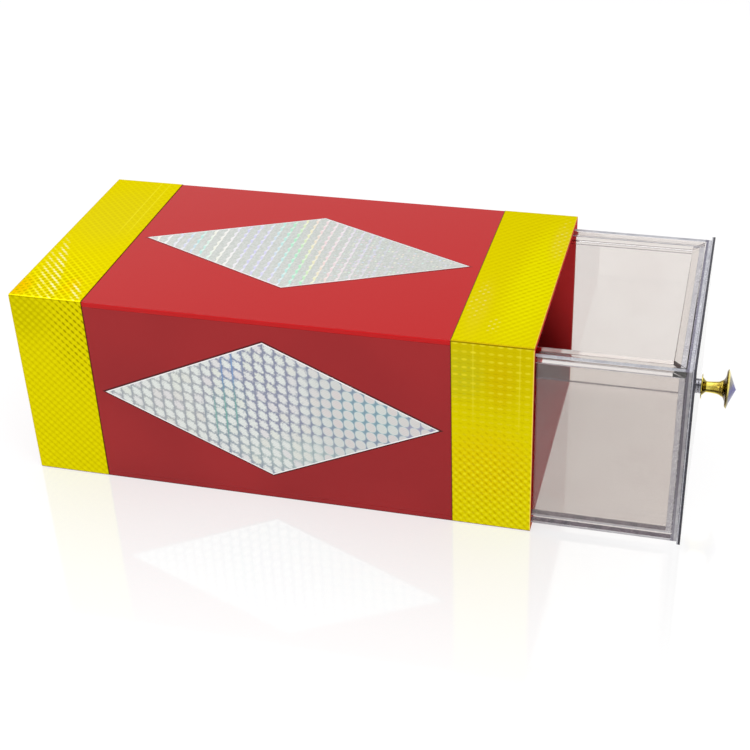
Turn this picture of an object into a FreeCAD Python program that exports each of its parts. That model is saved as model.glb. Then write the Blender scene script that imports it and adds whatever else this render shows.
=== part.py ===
import FreeCAD, Part
import math
import os

# Magic drawer box, in millimetres.
#
# A sleeve of glued red sheet is closed at one end.  Two clear drawers nest in
# it and leave by the open end: an outer drawer with the front plate and knob,
# and an inner drawer that slides inside the outer one and can be held back.
# A turn catch on the closed end holds the inner drawer for that.
#
# The origin is the middle of the sleeve's underside.  +X runs along the box to
# the mouth, -Y is the side turned to the audience and +Z is up.  The drawers
# are modelled pulled out by shown_pull.

# ---------------------------------------------------------------- driving sizes

# Sleeve
sleeve_length = 290.0
sleeve_width = 152.0
sleeve_height = 115.5
sleeve_sheet = 3.0
sleeve_edge_round = 0.8

# Foil bands wrapped over the sleeve's two ends
foil_thickness = 0.25
band_width = 43.0
band_hem_height = 0.6

# Foil diamonds
diamond_band_gap = 6.5
diamond_edge_gap = 14.75
side_diamond_rise = 1.2
top_diamond_shift = 3.0

# Outer drawer and its front plate
drawer_sheet = 3.0
drawer_side_gap = 0.4
drawer_floor_gap = 0.3
drawer_head_gap = 3.3
drawer_tail_gap = 1.0
shown_pull = 77.3
plate_thickness = 2.0
plate_mouth_gap = 0.3
plate_ground_gap = 1.3
plate_rise = 2.1

# Inner drawer and its mitred rim
inner_sheet = 3.0
nest_side_gap = 0.3
nest_floor_gap = 0.3
nest_front_gap = 0.3
inner_tail_inset = 0.5
rim_width = 6.6
rim_depth = 5.2

# Knob, each length along its axis
knob_height = 56.0
knob_post_wall = 2.1
knob_post_length = 1.5
knob_flange_radius = 6.9
knob_flange_length = 0.5
knob_foot_radius = 5.1
knob_foot_length = 2.2
knob_neck_wall = 1.05
knob_neck_length = 6.4
knob_neck_swell = 0.5
knob_throat_swell = 1.4
knob_throat_length = 1.8
knob_trumpet_length = 2.2
knob_lip_width = 1.2
knob_lip_length = 1.0
knob_head_radius = 11.0
knob_bezel_width = 2.2
knob_crystal_height = 3.6
crystal_facets = 12
crystal_crown_share = 0.5

# Knob screw
screw_diameter = 4.0
screw_clearance = 0.15
screw_head_flare = 1.8
screw_grip = 6.0
screw_socket_width = 2.5
screw_socket_depth = 1.3

# Turn catch on the closed end
catch_height = 57.0
spindle_diameter = 4.0
spindle_running_gap = 0.05
bush_wall = 2.45
bush_flange_width = 2.0
bush_flange_thickness = 1.2
catch_bar_length = 20.0
catch_bar_cheek = 1.25
catch_bar_thickness = 3.0
catch_bar_gap = 0.5
catch_slot_gap = 0.5
turn_gap = 0.3
turn_radius = 8.0
turn_disc_thickness = 2.0
turn_wing_height = 6.0
turn_wing_width = 3.2
turn_hub_wall = 1.2
turn_end_wall = 3.0

# ---------------------------------------------------------------- worked-out places

half_length = sleeve_length / 2
half_width = sleeve_width / 2
sleeve_inner_half_width = half_width - sleeve_sheet
sleeve_ceiling = sleeve_height - sleeve_sheet

diamond_length = sleeve_length - 2 * (band_width + diamond_band_gap)
diamond_height = sleeve_height - 2 * diamond_edge_gap

plate_back = half_length + plate_mouth_gap + shown_pull
plate_face = plate_back + plate_thickness

drawer_half_width = sleeve_inner_half_width - drawer_side_gap
drawer_underside = sleeve_sheet + drawer_floor_gap
drawer_top = sleeve_ceiling - drawer_head_gap
drawer_tail = -half_length + sleeve_sheet + drawer_tail_gap + shown_pull
drawer_inner_half_width = drawer_half_width - drawer_sheet
drawer_floor_top = drawer_underside + drawer_sheet
drawer_inner_front = plate_back - drawer_sheet

inner_half_width = drawer_inner_half_width - nest_side_gap
inner_underside = drawer_floor_top + nest_floor_gap
inner_front = drawer_inner_front - nest_front_gap
inner_tail = drawer_tail + inner_tail_inset
inner_room_half_width = inner_half_width - inner_sheet
inner_floor_top = inner_underside + inner_sheet
rim_underside = drawer_top - rim_depth

screw_radius = screw_diameter / 2
screw_head_radius = screw_radius + screw_head_flare
knob_crystal_radius = knob_head_radius - knob_bezel_width
knob_bezel_length = knob_bezel_width * knob_crystal_height / knob_crystal_radius

spindle_radius = spindle_diameter / 2
bush_bore_radius = spindle_radius + spindle_running_gap
bush_radius = bush_bore_radius + bush_wall
catch_bar_width = spindle_diameter + 2 * catch_bar_cheek
closed_end = -half_length
closed_end_inside = closed_end + sleeve_sheet
shut_inner_wall_inside = inner_tail - shown_pull + inner_sheet
catch_bar_back = shut_inner_wall_inside + catch_bar_gap
catch_bar_front = catch_bar_back + catch_bar_thickness
bush_face = closed_end - bush_flange_thickness
turn_face = bush_face - turn_gap
turn_disc_face = turn_face - turn_disc_thickness
turn_end = turn_disc_face - turn_wing_height

Vector = FreeCAD.Vector
ALONG = Vector(1, 0, 0)


# ---------------------------------------------------------------- shape helpers

def block(x_low, x_high, y_low, y_high, z_low, z_high):
    """Give a rectangular solid between two corners."""
    corner = Vector(x_low, y_low, z_low)
    return Part.makeBox(x_high - x_low, y_high - y_low, z_high - z_low, corner)


def rod(x_low, x_high, radius, y, z):
    """Give a round bar along X."""
    return Part.makeCylinder(radius, x_high - x_low, Vector(x_low, y, z), ALONG)


def plate_from(points, thickness):
    """Give a flat plate: a closed outline pushed along the vector thickness."""
    outline = Part.makePolygon(points + [points[0]])
    return Part.Face(outline).extrude(thickness)


def turned(profile, x_start, y, z):
    """Spin a profile of (reach, radius) points about an axis along X."""
    points = [Vector(x_start + reach, y, z + radius) for reach, radius in profile]
    outline = Part.makePolygon(points + [points[0]])
    return Part.Face(outline).revolve(Vector(x_start, y, z), ALONG, 360)


def save(name, shape):
    """Write one piece as parts/NAME.step."""
    shape.exportStep("parts/" + name + ".step")
    size = shape.BoundBox
    print(name, len(shape.Solids), round(shape.Volume, 2), shape.isValid(),
          [round(v, 2) for v in (size.XMin, size.XMax, size.YMin, size.YMax, size.ZMin, size.ZMax)])


# ---------------------------------------------------------------- sleeve

def sleeve_section(x_start, length, growth):
    """Give the sleeve's outline, grown outwards, as a bar along X with round top edges."""
    reach = half_width + growth
    bar = block(x_start, x_start + length, -reach, reach, 0, sleeve_height + growth)
    top_edges = [edge for edge in bar.Edges if runs_along_top(edge, sleeve_height + growth)]
    return bar.makeFillet(sleeve_edge_round + growth, top_edges)


def runs_along_top(edge, height):
    """Say whether an edge runs along X at the given height."""
    box = edge.BoundBox
    return box.ZMin > height - 0.01 and box.YLength < 0.01


def sleeve_panels():
    """Give the five sheets: top and bottom lap the sides, the closed end fits between."""
    outline = sleeve_section(-half_length, sleeve_length, 0)
    above = block(-half_length, half_length, -half_width, half_width, sleeve_ceiling, sleeve_height)
    bottom = block(-half_length, half_length, -half_width, half_width, 0, sleeve_sheet)
    near = block(-half_length, half_length, -half_width, -sleeve_inner_half_width,
                 sleeve_sheet, sleeve_ceiling)
    far = block(-half_length, half_length, sleeve_inner_half_width, half_width,
                sleeve_sheet, sleeve_ceiling)
    end = block(closed_end, closed_end_inside, -sleeve_inner_half_width, sleeve_inner_half_width,
                sleeve_sheet, sleeve_ceiling)
    bush_hole = rod(closed_end, closed_end_inside, bush_radius, 0, catch_height)
    return {
        "sleeve_top": outline.common(above),
        "sleeve_bottom": bottom,
        "sleeve_near_side": near,
        "sleeve_far_side": far,
        "sleeve_closed_end": end.cut(bush_hole),
    }


def foil_band(x_start):
    """Give a foil strip folded over the near side, the top and the far side."""
    skin = sleeve_section(x_start, band_width, foil_thickness)
    core = sleeve_section(x_start, band_width, 0)
    below_hem = block(x_start, x_start + band_width, -sleeve_width, sleeve_width, 0, band_hem_height)
    return skin.cut(core).cut(below_hem)


def foil_bands():
    """Give the bands, trimmed flush with the mouth and the closed end."""
    return {
        "foil_band_mouth": foil_band(half_length - band_width),
        "foil_band_closed_end": foil_band(-half_length),
    }


def rhombus(centre, half_across):
    """Give the four corners of a diamond, long way along X, short way along half_across."""
    half_along = Vector(diamond_length / 2, 0, 0)
    return [centre - half_along, centre + half_across, centre + half_along, centre - half_across]


def foil_diamonds():
    """Give the diamonds on the two sides and the top."""
    side_height = sleeve_height / 2 + side_diamond_rise
    upright = Vector(0, 0, diamond_height / 2)
    across = Vector(0, diamond_height / 2, 0)
    near = rhombus(Vector(0, -half_width, side_height), upright)
    far = rhombus(Vector(0, half_width, side_height), upright)
    top = rhombus(Vector(0, top_diamond_shift, sleeve_height), across)
    return {
        "diamond_near": plate_from(near, Vector(0, -foil_thickness, 0)),
        "diamond_far": plate_from(far, Vector(0, foil_thickness, 0)),
        "diamond_top": plate_from(top, Vector(0, 0, foil_thickness)),
    }


# ---------------------------------------------------------------- turn catch

def catch_bar_block(x_low, x_high, gap):
    """Give the catch bar's oblong, lying level, grown by a gap all round."""
    half_reach = catch_bar_length / 2 + gap
    half_rise = catch_bar_width / 2 + gap
    return block(x_low, x_high, -half_reach, half_reach,
                 catch_height - half_rise, catch_height + half_rise)


def bush():
    """Give the flanged bush, flush with the inside of the closed end."""
    barrel_end = bush_flange_thickness + sleeve_sheet
    flange_radius = bush_radius + bush_flange_width
    profile = [
        (0, 0),
        (0, flange_radius),
        (bush_flange_thickness, flange_radius),
        (bush_flange_thickness, bush_radius),
        (barrel_end, bush_radius),
        (barrel_end, 0),
    ]
    bore = rod(bush_face, closed_end_inside, bush_bore_radius, 0, catch_height)
    return turned(profile, bush_face, 0, catch_height).cut(bore)


def thumb_turn():
    """Give the thumb turn: a disc with a hub and a round-ended wing across it."""
    disc = rod(turn_disc_face, turn_face, turn_radius, 0, catch_height)
    hub = rod(turn_end, turn_disc_face, spindle_radius + turn_hub_wall, 0, catch_height)
    wing = block(turn_end, turn_disc_face, -turn_radius, turn_radius,
                 catch_height - turn_wing_width / 2, catch_height + turn_wing_width / 2)
    wing_limit = rod(turn_end, turn_disc_face, turn_radius, 0, catch_height)
    return disc.fuse(wing.common(wing_limit)).fuse(hub).removeSplitter()


def turn_catch():
    """Give the bush in the closed end, and the spindle with its bar and thumb turn."""
    spindle = rod(turn_end + turn_end_wall, catch_bar_front, spindle_radius, 0, catch_height)
    bar = catch_bar_block(catch_bar_back, catch_bar_front, 0)
    return {
        "catch_bush": bush(),
        "catch_spindle": spindle,
        "catch_bar": bar.cut(spindle),
        "catch_thumb_turn": thumb_turn().cut(spindle),
    }


# ---------------------------------------------------------------- mitred frames

def mitred_side(x_tail, x_front, y_outer, width, z_low, z_high, mitred_tail):
    """Give a long strip whose ends are cut at 45 degrees on the inner side."""
    inward = -math.copysign(width, y_outer)
    tail_cut = width if mitred_tail else 0
    points = [
        Vector(x_tail, y_outer, z_low),
        Vector(x_front, y_outer, z_low),
        Vector(x_front - width, y_outer + inward, z_low),
        Vector(x_tail + tail_cut, y_outer + inward, z_low),
    ]
    return plate_from(points, Vector(0, 0, z_high - z_low))


def mitred_cross(x_outer, half_reach, width, z_low, z_high, inward):
    """Give a cross strip whose ends are cut at 45 degrees; inward is +1 or -1 along X."""
    points = [
        Vector(x_outer, -half_reach, z_low),
        Vector(x_outer, half_reach, z_low),
        Vector(x_outer + inward * width, half_reach - width, z_low),
        Vector(x_outer + inward * width, -half_reach + width, z_low),
    ]
    return plate_from(points, Vector(0, 0, z_high - z_low))


# ---------------------------------------------------------------- outer drawer

def outer_drawer():
    """Give the outer drawer: two sides, a front, a floor and the front plate."""
    near = mitred_side(drawer_tail, plate_back, -drawer_half_width, drawer_sheet,
                       drawer_underside, drawer_top, False)
    far = mitred_side(drawer_tail, plate_back, drawer_half_width, drawer_sheet,
                      drawer_underside, drawer_top, False)
    front = mitred_cross(plate_back, drawer_half_width, drawer_sheet,
                         drawer_underside, drawer_top, -1)
    floor = block(drawer_tail, drawer_inner_front, -drawer_inner_half_width, drawer_inner_half_width,
                  drawer_underside, drawer_floor_top)
    plate = block(plate_back, plate_face, -drawer_half_width, drawer_half_width,
                  plate_ground_gap, drawer_top + plate_rise)
    screw_hole = rod(drawer_inner_front, plate_face, screw_radius + screw_clearance, 0, knob_height)
    return {
        "drawer_near_wall": near,
        "drawer_far_wall": far,
        "drawer_front_wall": front.cut(screw_hole).cut(screw_head()),
        "drawer_floor": floor,
        "front_plate": plate.cut(screw_hole).cut(screw_head()),
    }


# ---------------------------------------------------------------- knob and its screw

def screw_head():
    """Give the screw's countersunk cone, flush with the front wall's inner face."""
    cone = [(0, 0), (0, screw_head_radius), (screw_head_flare, screw_radius), (screw_head_flare, 0)]
    return turned(cone, drawer_inner_front, 0, knob_height)


def screw_shank():
    """Give the screw's shank, from its head into the knob."""
    shank_end = plate_face + knob_post_length + screw_grip
    return rod(drawer_inner_front, shank_end, screw_radius, 0, knob_height)


def hex_socket():
    """Give the six-sided socket in the screw's head."""
    corner_radius = screw_socket_width / math.sqrt(3)
    points = []
    for corner in range(6):
        angle = math.radians(60 * corner)
        points.append(Vector(drawer_inner_front, corner_radius * math.cos(angle),
                             knob_height + corner_radius * math.sin(angle)))
    return plate_from(points, Vector(screw_socket_depth, 0, 0))


def knob_profile():
    """Give the knob's turned profile: flange, neck and a trumpet-shaped head."""
    neck_radius = screw_radius + knob_neck_wall
    neck_end_radius = neck_radius + knob_neck_swell
    throat_radius = neck_radius + knob_throat_swell
    profile = [(knob_post_length, 0), (knob_post_length, knob_flange_radius)]
    reach = knob_post_length + knob_flange_length
    profile += [(reach, knob_flange_radius), (reach, knob_foot_radius)]
    reach += knob_foot_length
    profile.append((reach, neck_radius))
    reach += knob_neck_length
    profile.append((reach, neck_end_radius))
    reach += knob_throat_length
    trumpet_steps = 7
    trumpet_rise = knob_head_radius - knob_lip_width - throat_radius
    for step in range(trumpet_steps + 1):
        angle = math.radians(90 * step / trumpet_steps)
        profile.append((reach + knob_trumpet_length * math.sin(angle),
                        throat_radius + trumpet_rise * (1 - math.cos(angle))))
    reach += knob_trumpet_length + knob_lip_length
    profile.append((reach, knob_head_radius))
    reach += knob_bezel_length
    profile += [(reach, knob_crystal_radius), (reach, 0)]
    return profile


def crystal():
    """Give the faceted cone: a ring of facets under a steeper star of facets."""
    seat = plate_face + knob_profile()[-1][0]
    crown_reach = knob_crystal_height * crystal_crown_share
    crown_radius = knob_crystal_radius * (1 - crystal_crown_share)
    tiers = [(0, knob_crystal_radius), (crown_reach, crown_radius)]
    rings = []
    for tier, (reach, radius) in enumerate(tiers):
        ring = []
        for facet in range(crystal_facets):
            angle = math.radians(360 / crystal_facets * (facet + tier / 2))
            ring.append(Vector(seat + reach, radius * math.cos(angle),
                               knob_height + radius * math.sin(angle)))
        rings.append(ring)
    tip = Vector(seat + knob_crystal_height, 0, knob_height)
    faces = [Part.Face(Part.makePolygon(rings[0] + [rings[0][0]]))]
    for facet in range(crystal_facets):
        after = (facet + 1) % crystal_facets
        faces.append(triangle(rings[0][facet], rings[0][after], rings[1][facet]))
        faces.append(triangle(rings[0][after], rings[1][after], rings[1][facet]))
        faces.append(triangle(rings[1][facet], rings[1][after], tip))
    return Part.Solid(Part.Shell(faces))


def triangle(first, second, third):
    """Give a flat three-sided face."""
    return Part.Face(Part.makePolygon([first, second, third, first]))


def knob_and_screw():
    """Give the knob's post ring, body and crystal, and the screw that holds them."""
    shank = screw_shank()
    post_end = plate_face + knob_post_length
    post = rod(plate_face, post_end, screw_radius + knob_post_wall, 0, knob_height)
    screw = screw_head().fuse(shank).removeSplitter()
    return {
        "knob_post_ring": post.cut(shank),
        "knob_body": turned(knob_profile(), plate_face, 0, knob_height).cut(shank),
        "knob_crystal": crystal(),
        "knob_screw": screw.cut(hex_socket()),
    }


# ---------------------------------------------------------------- inner drawer

def inner_drawer():
    """Give the inner drawer: four walls, a floor and a mitred rim along the walls' tops."""
    room_back = inner_tail + inner_sheet
    room_front = inner_front - inner_sheet
    near = block(inner_tail, inner_front, -inner_half_width, -inner_room_half_width,
                 inner_underside, rim_underside)
    far = block(inner_tail, inner_front, inner_room_half_width, inner_half_width,
                inner_underside, rim_underside)
    front = block(room_front, inner_front, -inner_room_half_width, inner_room_half_width,
                  inner_underside, rim_underside)
    back = block(inner_tail, room_back, -inner_room_half_width, inner_room_half_width,
                 inner_underside, rim_underside)
    slot = catch_bar_block(inner_tail, room_back, catch_slot_gap)
    floor = block(room_back, room_front, -inner_room_half_width, inner_room_half_width,
                  inner_underside, inner_floor_top)
    return {
        "inner_near_wall": near,
        "inner_far_wall": far,
        "inner_front_wall": front,
        "inner_back_wall": back.cut(slot),
        "inner_floor": floor,
        "rim_near": mitred_side(inner_tail, inner_front, -inner_half_width, rim_width,
                                rim_underside, drawer_top, True),
        "rim_far": mitred_side(inner_tail, inner_front, inner_half_width, rim_width,
                               rim_underside, drawer_top, True),
        "rim_front": mitred_cross(inner_front, inner_half_width, rim_width,
                                  rim_underside, drawer_top, -1),
        "rim_back": mitred_cross(inner_tail, inner_half_width, rim_width,
                                 rim_underside, drawer_top, 1),
    }


# ---------------------------------------------------------------- build

os.makedirs("parts", exist_ok=True)
for group in (sleeve_panels, foil_bands, foil_diamonds, turn_catch,
              outer_drawer, knob_and_screw, inner_drawer):
    for node_name, node_shape in group().items():
        save(node_name, node_shape)
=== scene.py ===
"""Magic drawer box, dressed: red sleeve, foil trim, two clear drawers, gilt knob and turn catch.

Sizes in the classes are millimetres in the part's own frame: +X runs to the mouth, -Y is the
side turned to the audience, +Z is up, and the origin is the middle of the sleeve's underside.
Each class builds its pieces where the frame's solids are, and hangs them on the same bodies.
"""

from __future__ import annotations

import logging
import math
from collections.abc import Callable, Sequence
from dataclasses import dataclass
from enum import Enum

import bmesh
import bpy
from mathutils import Matrix, Vector

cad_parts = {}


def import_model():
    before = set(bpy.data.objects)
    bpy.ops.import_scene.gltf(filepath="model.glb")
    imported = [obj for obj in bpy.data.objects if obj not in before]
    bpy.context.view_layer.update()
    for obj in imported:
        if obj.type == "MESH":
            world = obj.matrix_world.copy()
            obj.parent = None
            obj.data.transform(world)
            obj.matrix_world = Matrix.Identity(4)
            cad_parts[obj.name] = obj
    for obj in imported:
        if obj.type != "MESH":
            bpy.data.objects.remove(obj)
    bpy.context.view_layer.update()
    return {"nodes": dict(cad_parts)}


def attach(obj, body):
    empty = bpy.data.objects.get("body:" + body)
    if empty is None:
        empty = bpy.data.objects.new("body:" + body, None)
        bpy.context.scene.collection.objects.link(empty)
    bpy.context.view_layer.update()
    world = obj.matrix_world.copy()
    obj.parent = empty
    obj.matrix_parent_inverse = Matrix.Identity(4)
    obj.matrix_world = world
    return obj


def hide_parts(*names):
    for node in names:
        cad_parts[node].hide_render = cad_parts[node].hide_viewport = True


LOG = logging.getLogger("drawer_box")
MM = 0.001
FLAT_MAP = "Flat"
SHARP_ANGLE = math.radians(30.0)  # an edge that bends more than this is rounded
WIDE_FLAT = 1.0  # millimetres; a face whose edges are all longer is flat, not part of a rounding
SQUARE_ON = 0.9999  # a face's direction along an axis from which it counts as square to it
SAME_WAY = 0.999  # how alike two faces' directions are when they count as one flat
SLIGHT = 0.01  # millimetres; places nearer than this are the same

Colour = tuple[float, float, float, float]
Point = tuple[float, float, float]
Material = bpy.types.Material
Socket = bpy.types.NodeSocket


class Body(Enum):
    """The parts that move as one."""

    SLEEVE = "sleeve"
    CATCH = "catch"
    INNER = "inner_drawer"
    OUTER = "outer_drawer"


class Slot(Enum):
    """The stuff that a piece is made of, as the record names it."""

    RED_SHEET = "red_sheet"
    GOLD_FOIL = "gold_foil"
    SILVER_FOIL = "silver_foil"
    CLEAR_SHEET = "clear_sheet"
    GILT = "gilt"
    CHROME = "chrome"
    CRYSTAL = "crystal"
    BRASS = "brass"
    STEEL = "steel"


class Glitter(Enum):
    """How a silver foil's cells catch the light."""

    LOZENGES = "lozenges"
    WAVES = "waves"


def tone(red: float, green: float, blue: float) -> Colour:
    """Turn a screen colour into the linear one that a shader takes.

    Args:
        red: Red, 0 to 255.
        green: Green, 0 to 255.
        blue: Blue, 0 to 255.

    Returns:
        The linear colour with full opacity.
    """
    linear = []
    for value in (red, green, blue):
        share = value / 255.0
        linear.append(share / 12.92 if share <= 0.04045 else ((share + 0.055) / 1.055) ** 2.4)
    return (linear[0], linear[1], linear[2], 1.0)


# ------------------------------------------------------------------ finish bench


class Reading:
    """A number that varies over a surface, with the usual arithmetic."""

    def __init__(self, bench: FinishBench, socket: Socket) -> None:
        """Hold the socket that gives the number.

        Args:
            bench: The bench that the node stands on.
            socket: The output that gives the number.
        """
        self.bench = bench
        self.socket = socket

    def worked(self, operation: str, *others: Reading | float) -> Reading:
        """Work this number and others through one maths node.

        Args:
            operation: The maths node's operation.
            others: Further numbers, in order.

        Returns:
            The result.
        """
        return self.bench.work_out(operation, self, *others)

    def __add__(self, other: Reading | float) -> Reading:
        """Give the sum."""
        return self.worked("ADD", other)

    def __sub__(self, other: Reading | float) -> Reading:
        """Give the difference."""
        return self.worked("SUBTRACT", other)

    def __mul__(self, other: Reading | float) -> Reading:
        """Give the product."""
        return self.worked("MULTIPLY", other)

    def __truediv__(self, other: Reading | float) -> Reading:
        """Give the quotient."""
        return self.worked("DIVIDE", other)

    def __pow__(self, other: float) -> Reading:
        """Give the power."""
        return self.worked("POWER", other)

    def __neg__(self) -> Reading:
        """Give the number with its sign turned."""
        return self * -1.0

    def away_from(self, whole: float) -> Reading:
        """Give what is left of a whole after this number is taken off."""
        return self.bench.work_out("SUBTRACT", whole, self)

    def size(self) -> Reading:
        """Give the number without its sign."""
        return self.worked("ABSOLUTE")

    def whole(self) -> Reading:
        """Give the whole number below."""
        return self.worked("FLOOR")

    def rest(self) -> Reading:
        """Give what lies above the whole number below."""
        return self.worked("FRACT")

    def wave(self) -> Reading:
        """Give the sine."""
        return self.worked("SINE")

    def larger(self, other: Reading | float) -> Reading:
        """Give the larger of two."""
        return self.worked("MAXIMUM", other)

    def smaller(self, other: Reading | float) -> Reading:
        """Give the smaller of two."""
        return self.worked("MINIMUM", other)

    def step(self, start: float, end: float) -> Reading:
        """Ease from 0 at the start to 1 at the end.

        Args:
            start: Where the result is 0.
            end: Where the result is 1; it may lie below the start.

        Returns:
            The eased share, 0 to 1.
        """
        node = self.bench.node(
            "ShaderNodeMapRange", self, start, end, 0.0, 1.0, interpolation_type="SMOOTHSTEP")
        return Reading(self.bench, node.outputs[0])

    def band(self, middle: float, reach: float, soft: float) -> Reading:
        """Give 1 within a reach of the middle, easing to 0 beyond it.

        Args:
            middle: The middle of the band.
            reach: Half the band's full-strength width.
            soft: How far the edge takes to fade.

        Returns:
            The share, 0 to 1.
        """
        return (self - middle).size().step(reach + soft, reach)


class FinishBench:
    """Lays out the nodes of one finish."""

    def __init__(self, name: str) -> None:
        """Start a finish with an empty bench.

        Args:
            name: The finish's name.
        """
        self.material = bpy.data.materials.new(name)
        self.material.use_nodes = True
        self.tree = self.material.node_tree
        self.tree.nodes.clear()

    def feed(self, socket: Socket, value: object) -> None:
        """Set an input to a value, or link it to another node's output.

        Args:
            socket: The input.
            value: A number, colour, vector, output or reading; None leaves the input alone.
        """
        if value is None:
            return
        if isinstance(value, Reading):
            value = value.socket
        if isinstance(value, Socket):
            self.tree.links.new(value, socket)
        else:
            socket.default_value = value

    def node(self, kind: str, *feeds: object, **settings: object) -> bpy.types.Node:
        """Add one node.

        Args:
            kind: The node's type name.
            feeds: Values for its inputs, in order.
            settings: Options to set on the node before its inputs are fed.

        Returns:
            The node.
        """
        made = self.tree.nodes.new(kind)
        for option, value in settings.items():
            setattr(made, option, value)
        for socket, value in zip(made.inputs, feeds):
            self.feed(socket, value)
        return made

    def work_out(self, operation: str, *values: Reading | float) -> Reading:
        """Give the result of one maths node.

        Args:
            operation: The maths node's operation.
            values: Its inputs, in order.

        Returns:
            The result.
        """
        return Reading(self, self.node("ShaderNodeMath", *values, operation=operation).outputs[0])

    def places(self) -> tuple[Reading, Reading, Reading]:
        """Give a point's place on the part in millimetres, along X, Y and Z."""
        held = self.node("ShaderNodeTexCoord").outputs["Object"]
        parts = self.node("ShaderNodeSeparateXYZ", held).outputs
        along, across, up = (Reading(self, part) * 1000.0 for part in parts)
        return along, across, up

    def facing(self) -> tuple[Reading, Reading, Reading]:
        """Give which way the surface faces on the part, along X, Y and Z."""
        held = self.node("ShaderNodeTexCoord").outputs["Normal"]
        parts = self.node("ShaderNodeSeparateXYZ", held).outputs
        along, across, up = (Reading(self, part) for part in parts)
        return along, across, up

    def flat_places(self) -> tuple[Reading, Reading]:
        """Give a point's place on the unrolled foil in millimetres."""
        held = self.node("ShaderNodeUVMap", uv_map=FLAT_MAP).outputs[0]
        parts = self.node("ShaderNodeSeparateXYZ", held).outputs
        return Reading(self, parts[0]), Reading(self, parts[1])

    def point(self, *places: Reading | float) -> Socket:
        """Join up to three numbers into a point."""
        return self.node("ShaderNodeCombineXYZ", *places).outputs[0]

    def cloud(self, at: Socket, scale: float, detail: float = 2.0,
              rough: float = 0.5, bend: float = 0.0) -> Reading:
        """Give smooth random variation.

        Args:
            at: The point it varies with.
            scale: How many lumps there are in a unit of the point.
            detail: How many finer layers are added.
            rough: How strong the finer layers are.
            bend: How far the lumps are distorted.

        Returns:
            The variation, mostly 0.3 to 0.7.
        """
        made = self.node("ShaderNodeTexNoise", at)
        for name, value in {"Scale": scale, "Detail": detail, "Roughness": rough, "Distortion": bend}.items():
            made.inputs[name].default_value = value
        return Reading(self, made.outputs[0])

    def chance(self, *places: Reading | float) -> Reading:
        """Give an unrelated number, 0 to 1, for each point."""
        made = self.node("ShaderNodeTexWhiteNoise", self.point(*places), noise_dimensions="3D")
        return Reading(self, made.outputs[0])

    def blend(self, share: Reading | float, first: object, second: object, way: str = "MIX") -> Socket:
        """Mix two colours.

        Args:
            share: How much of the second colour there is.
            first: The first colour or output.
            second: The second colour or output.
            way: The mix node's blend type.

        Returns:
            The mixed colour.
        """
        made = self.node("ShaderNodeMix", data_type="RGBA", blend_type=way)
        for index, value in ((0, share), (6, first), (7, second)):
            self.feed(made.inputs[index], value)
        return made.outputs[2]

    def hue(self, turn: Reading, strength: float, level: float) -> Socket:
        """Give a colour by its place round the colour wheel.

        Args:
            turn: The place, one turn to a whole number.
            strength: The saturation.
            level: The brightness.

        Returns:
            The colour.
        """
        return self.node("ShaderNodeCombineColor", turn.rest(), strength, level, mode="HSV").outputs[0]

    def ramp(self, value: Reading, low: float, high: float,
             stops: Sequence[tuple[float, Colour]]) -> Socket:
        """Give a colour that changes along a scale.

        Args:
            value: The place on the scale.
            low: The scale's start.
            high: The scale's end.
            stops: Places on the scale with their colours, in order.

        Returns:
            The colour.
        """
        made = self.node("ShaderNodeValToRGB", (value - low) / (high - low))
        marks = made.color_ramp.elements
        while len(marks) < len(stops):
            marks.new(1.0)
        for mark, (place, colour) in zip(marks, stops):
            mark.position = (place - low) / (high - low)
            mark.color = colour
        return made.outputs[0]

    def relief(self, height: Reading, depth: float, strength: float = 1.0) -> Socket:
        """Give a surface direction that follows fine relief.

        Args:
            height: The relief, 0 to 1.
            depth: The relief's full depth in millimetres.
            strength: How much of it shows.

        Returns:
            The surface direction.
        """
        made = self.node("ShaderNodeBump")
        made.inputs["Strength"].default_value = strength
        made.inputs["Distance"].default_value = depth * MM
        self.feed(made.inputs["Height"], height)
        return made.outputs[0]

    def shader(self, **inputs: object) -> bpy.types.Node:
        """Add the main shader.

        Args:
            inputs: Values for its inputs, with underscores for the spaces in their names.

        Returns:
            The shader's node.
        """
        made = self.node("ShaderNodeBsdfPrincipled")
        for name, value in inputs.items():
            self.feed(made.inputs[name.replace("_", " ")], value)
        return made

    def done(self, surface: Socket) -> Material:
        """Link the surface up and give the finished material."""
        self.node("ShaderNodeOutputMaterial", surface)
        return self.material


# ------------------------------------------------------------------ finishes


@dataclass(frozen=True)
class Patch:
    """A soft oval area on a foil, in millimetres on the unrolled foil."""

    middle: tuple[float, float]
    reach: tuple[float, float]
    strength: float = 1.0
    lean: float = 0.0

    def share(self, bench: FinishBench, u: Reading, v: Reading) -> Reading:
        """Give how strongly a point lies in the patch.

        Args:
            bench: The bench of the finish; not used.
            u: Place along the foil.
            v: Place across the foil.

        Returns:
            The patch's strength in its middle, easing to 0 at its reach.
        """
        along = (u - (v - self.middle[1]) * self.lean - self.middle[0]) / self.reach[0]
        across = (v - self.middle[1]) / self.reach[1]
        return (along ** 2.0 + across ** 2.0).worked("SQRT").step(1.0, 0.25) * self.strength


def over_patches(bench: FinishBench, u: Reading, v: Reading,
                 patches: Sequence[Patch], ground: float) -> Reading:
    """Add up soft areas over an even ground.

    Args:
        bench: The bench of the finish.
        u: Place along the foil.
        v: Place across the foil.
        patches: The areas.
        ground: The strength outside them.

    Returns:
        The strength at the point, at most 1.
    """
    total = bench.work_out("ADD", ground, 0.0)
    for patch in patches:
        total = total + patch.share(bench, u, v)
    return total.smaller(1.0)


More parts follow.
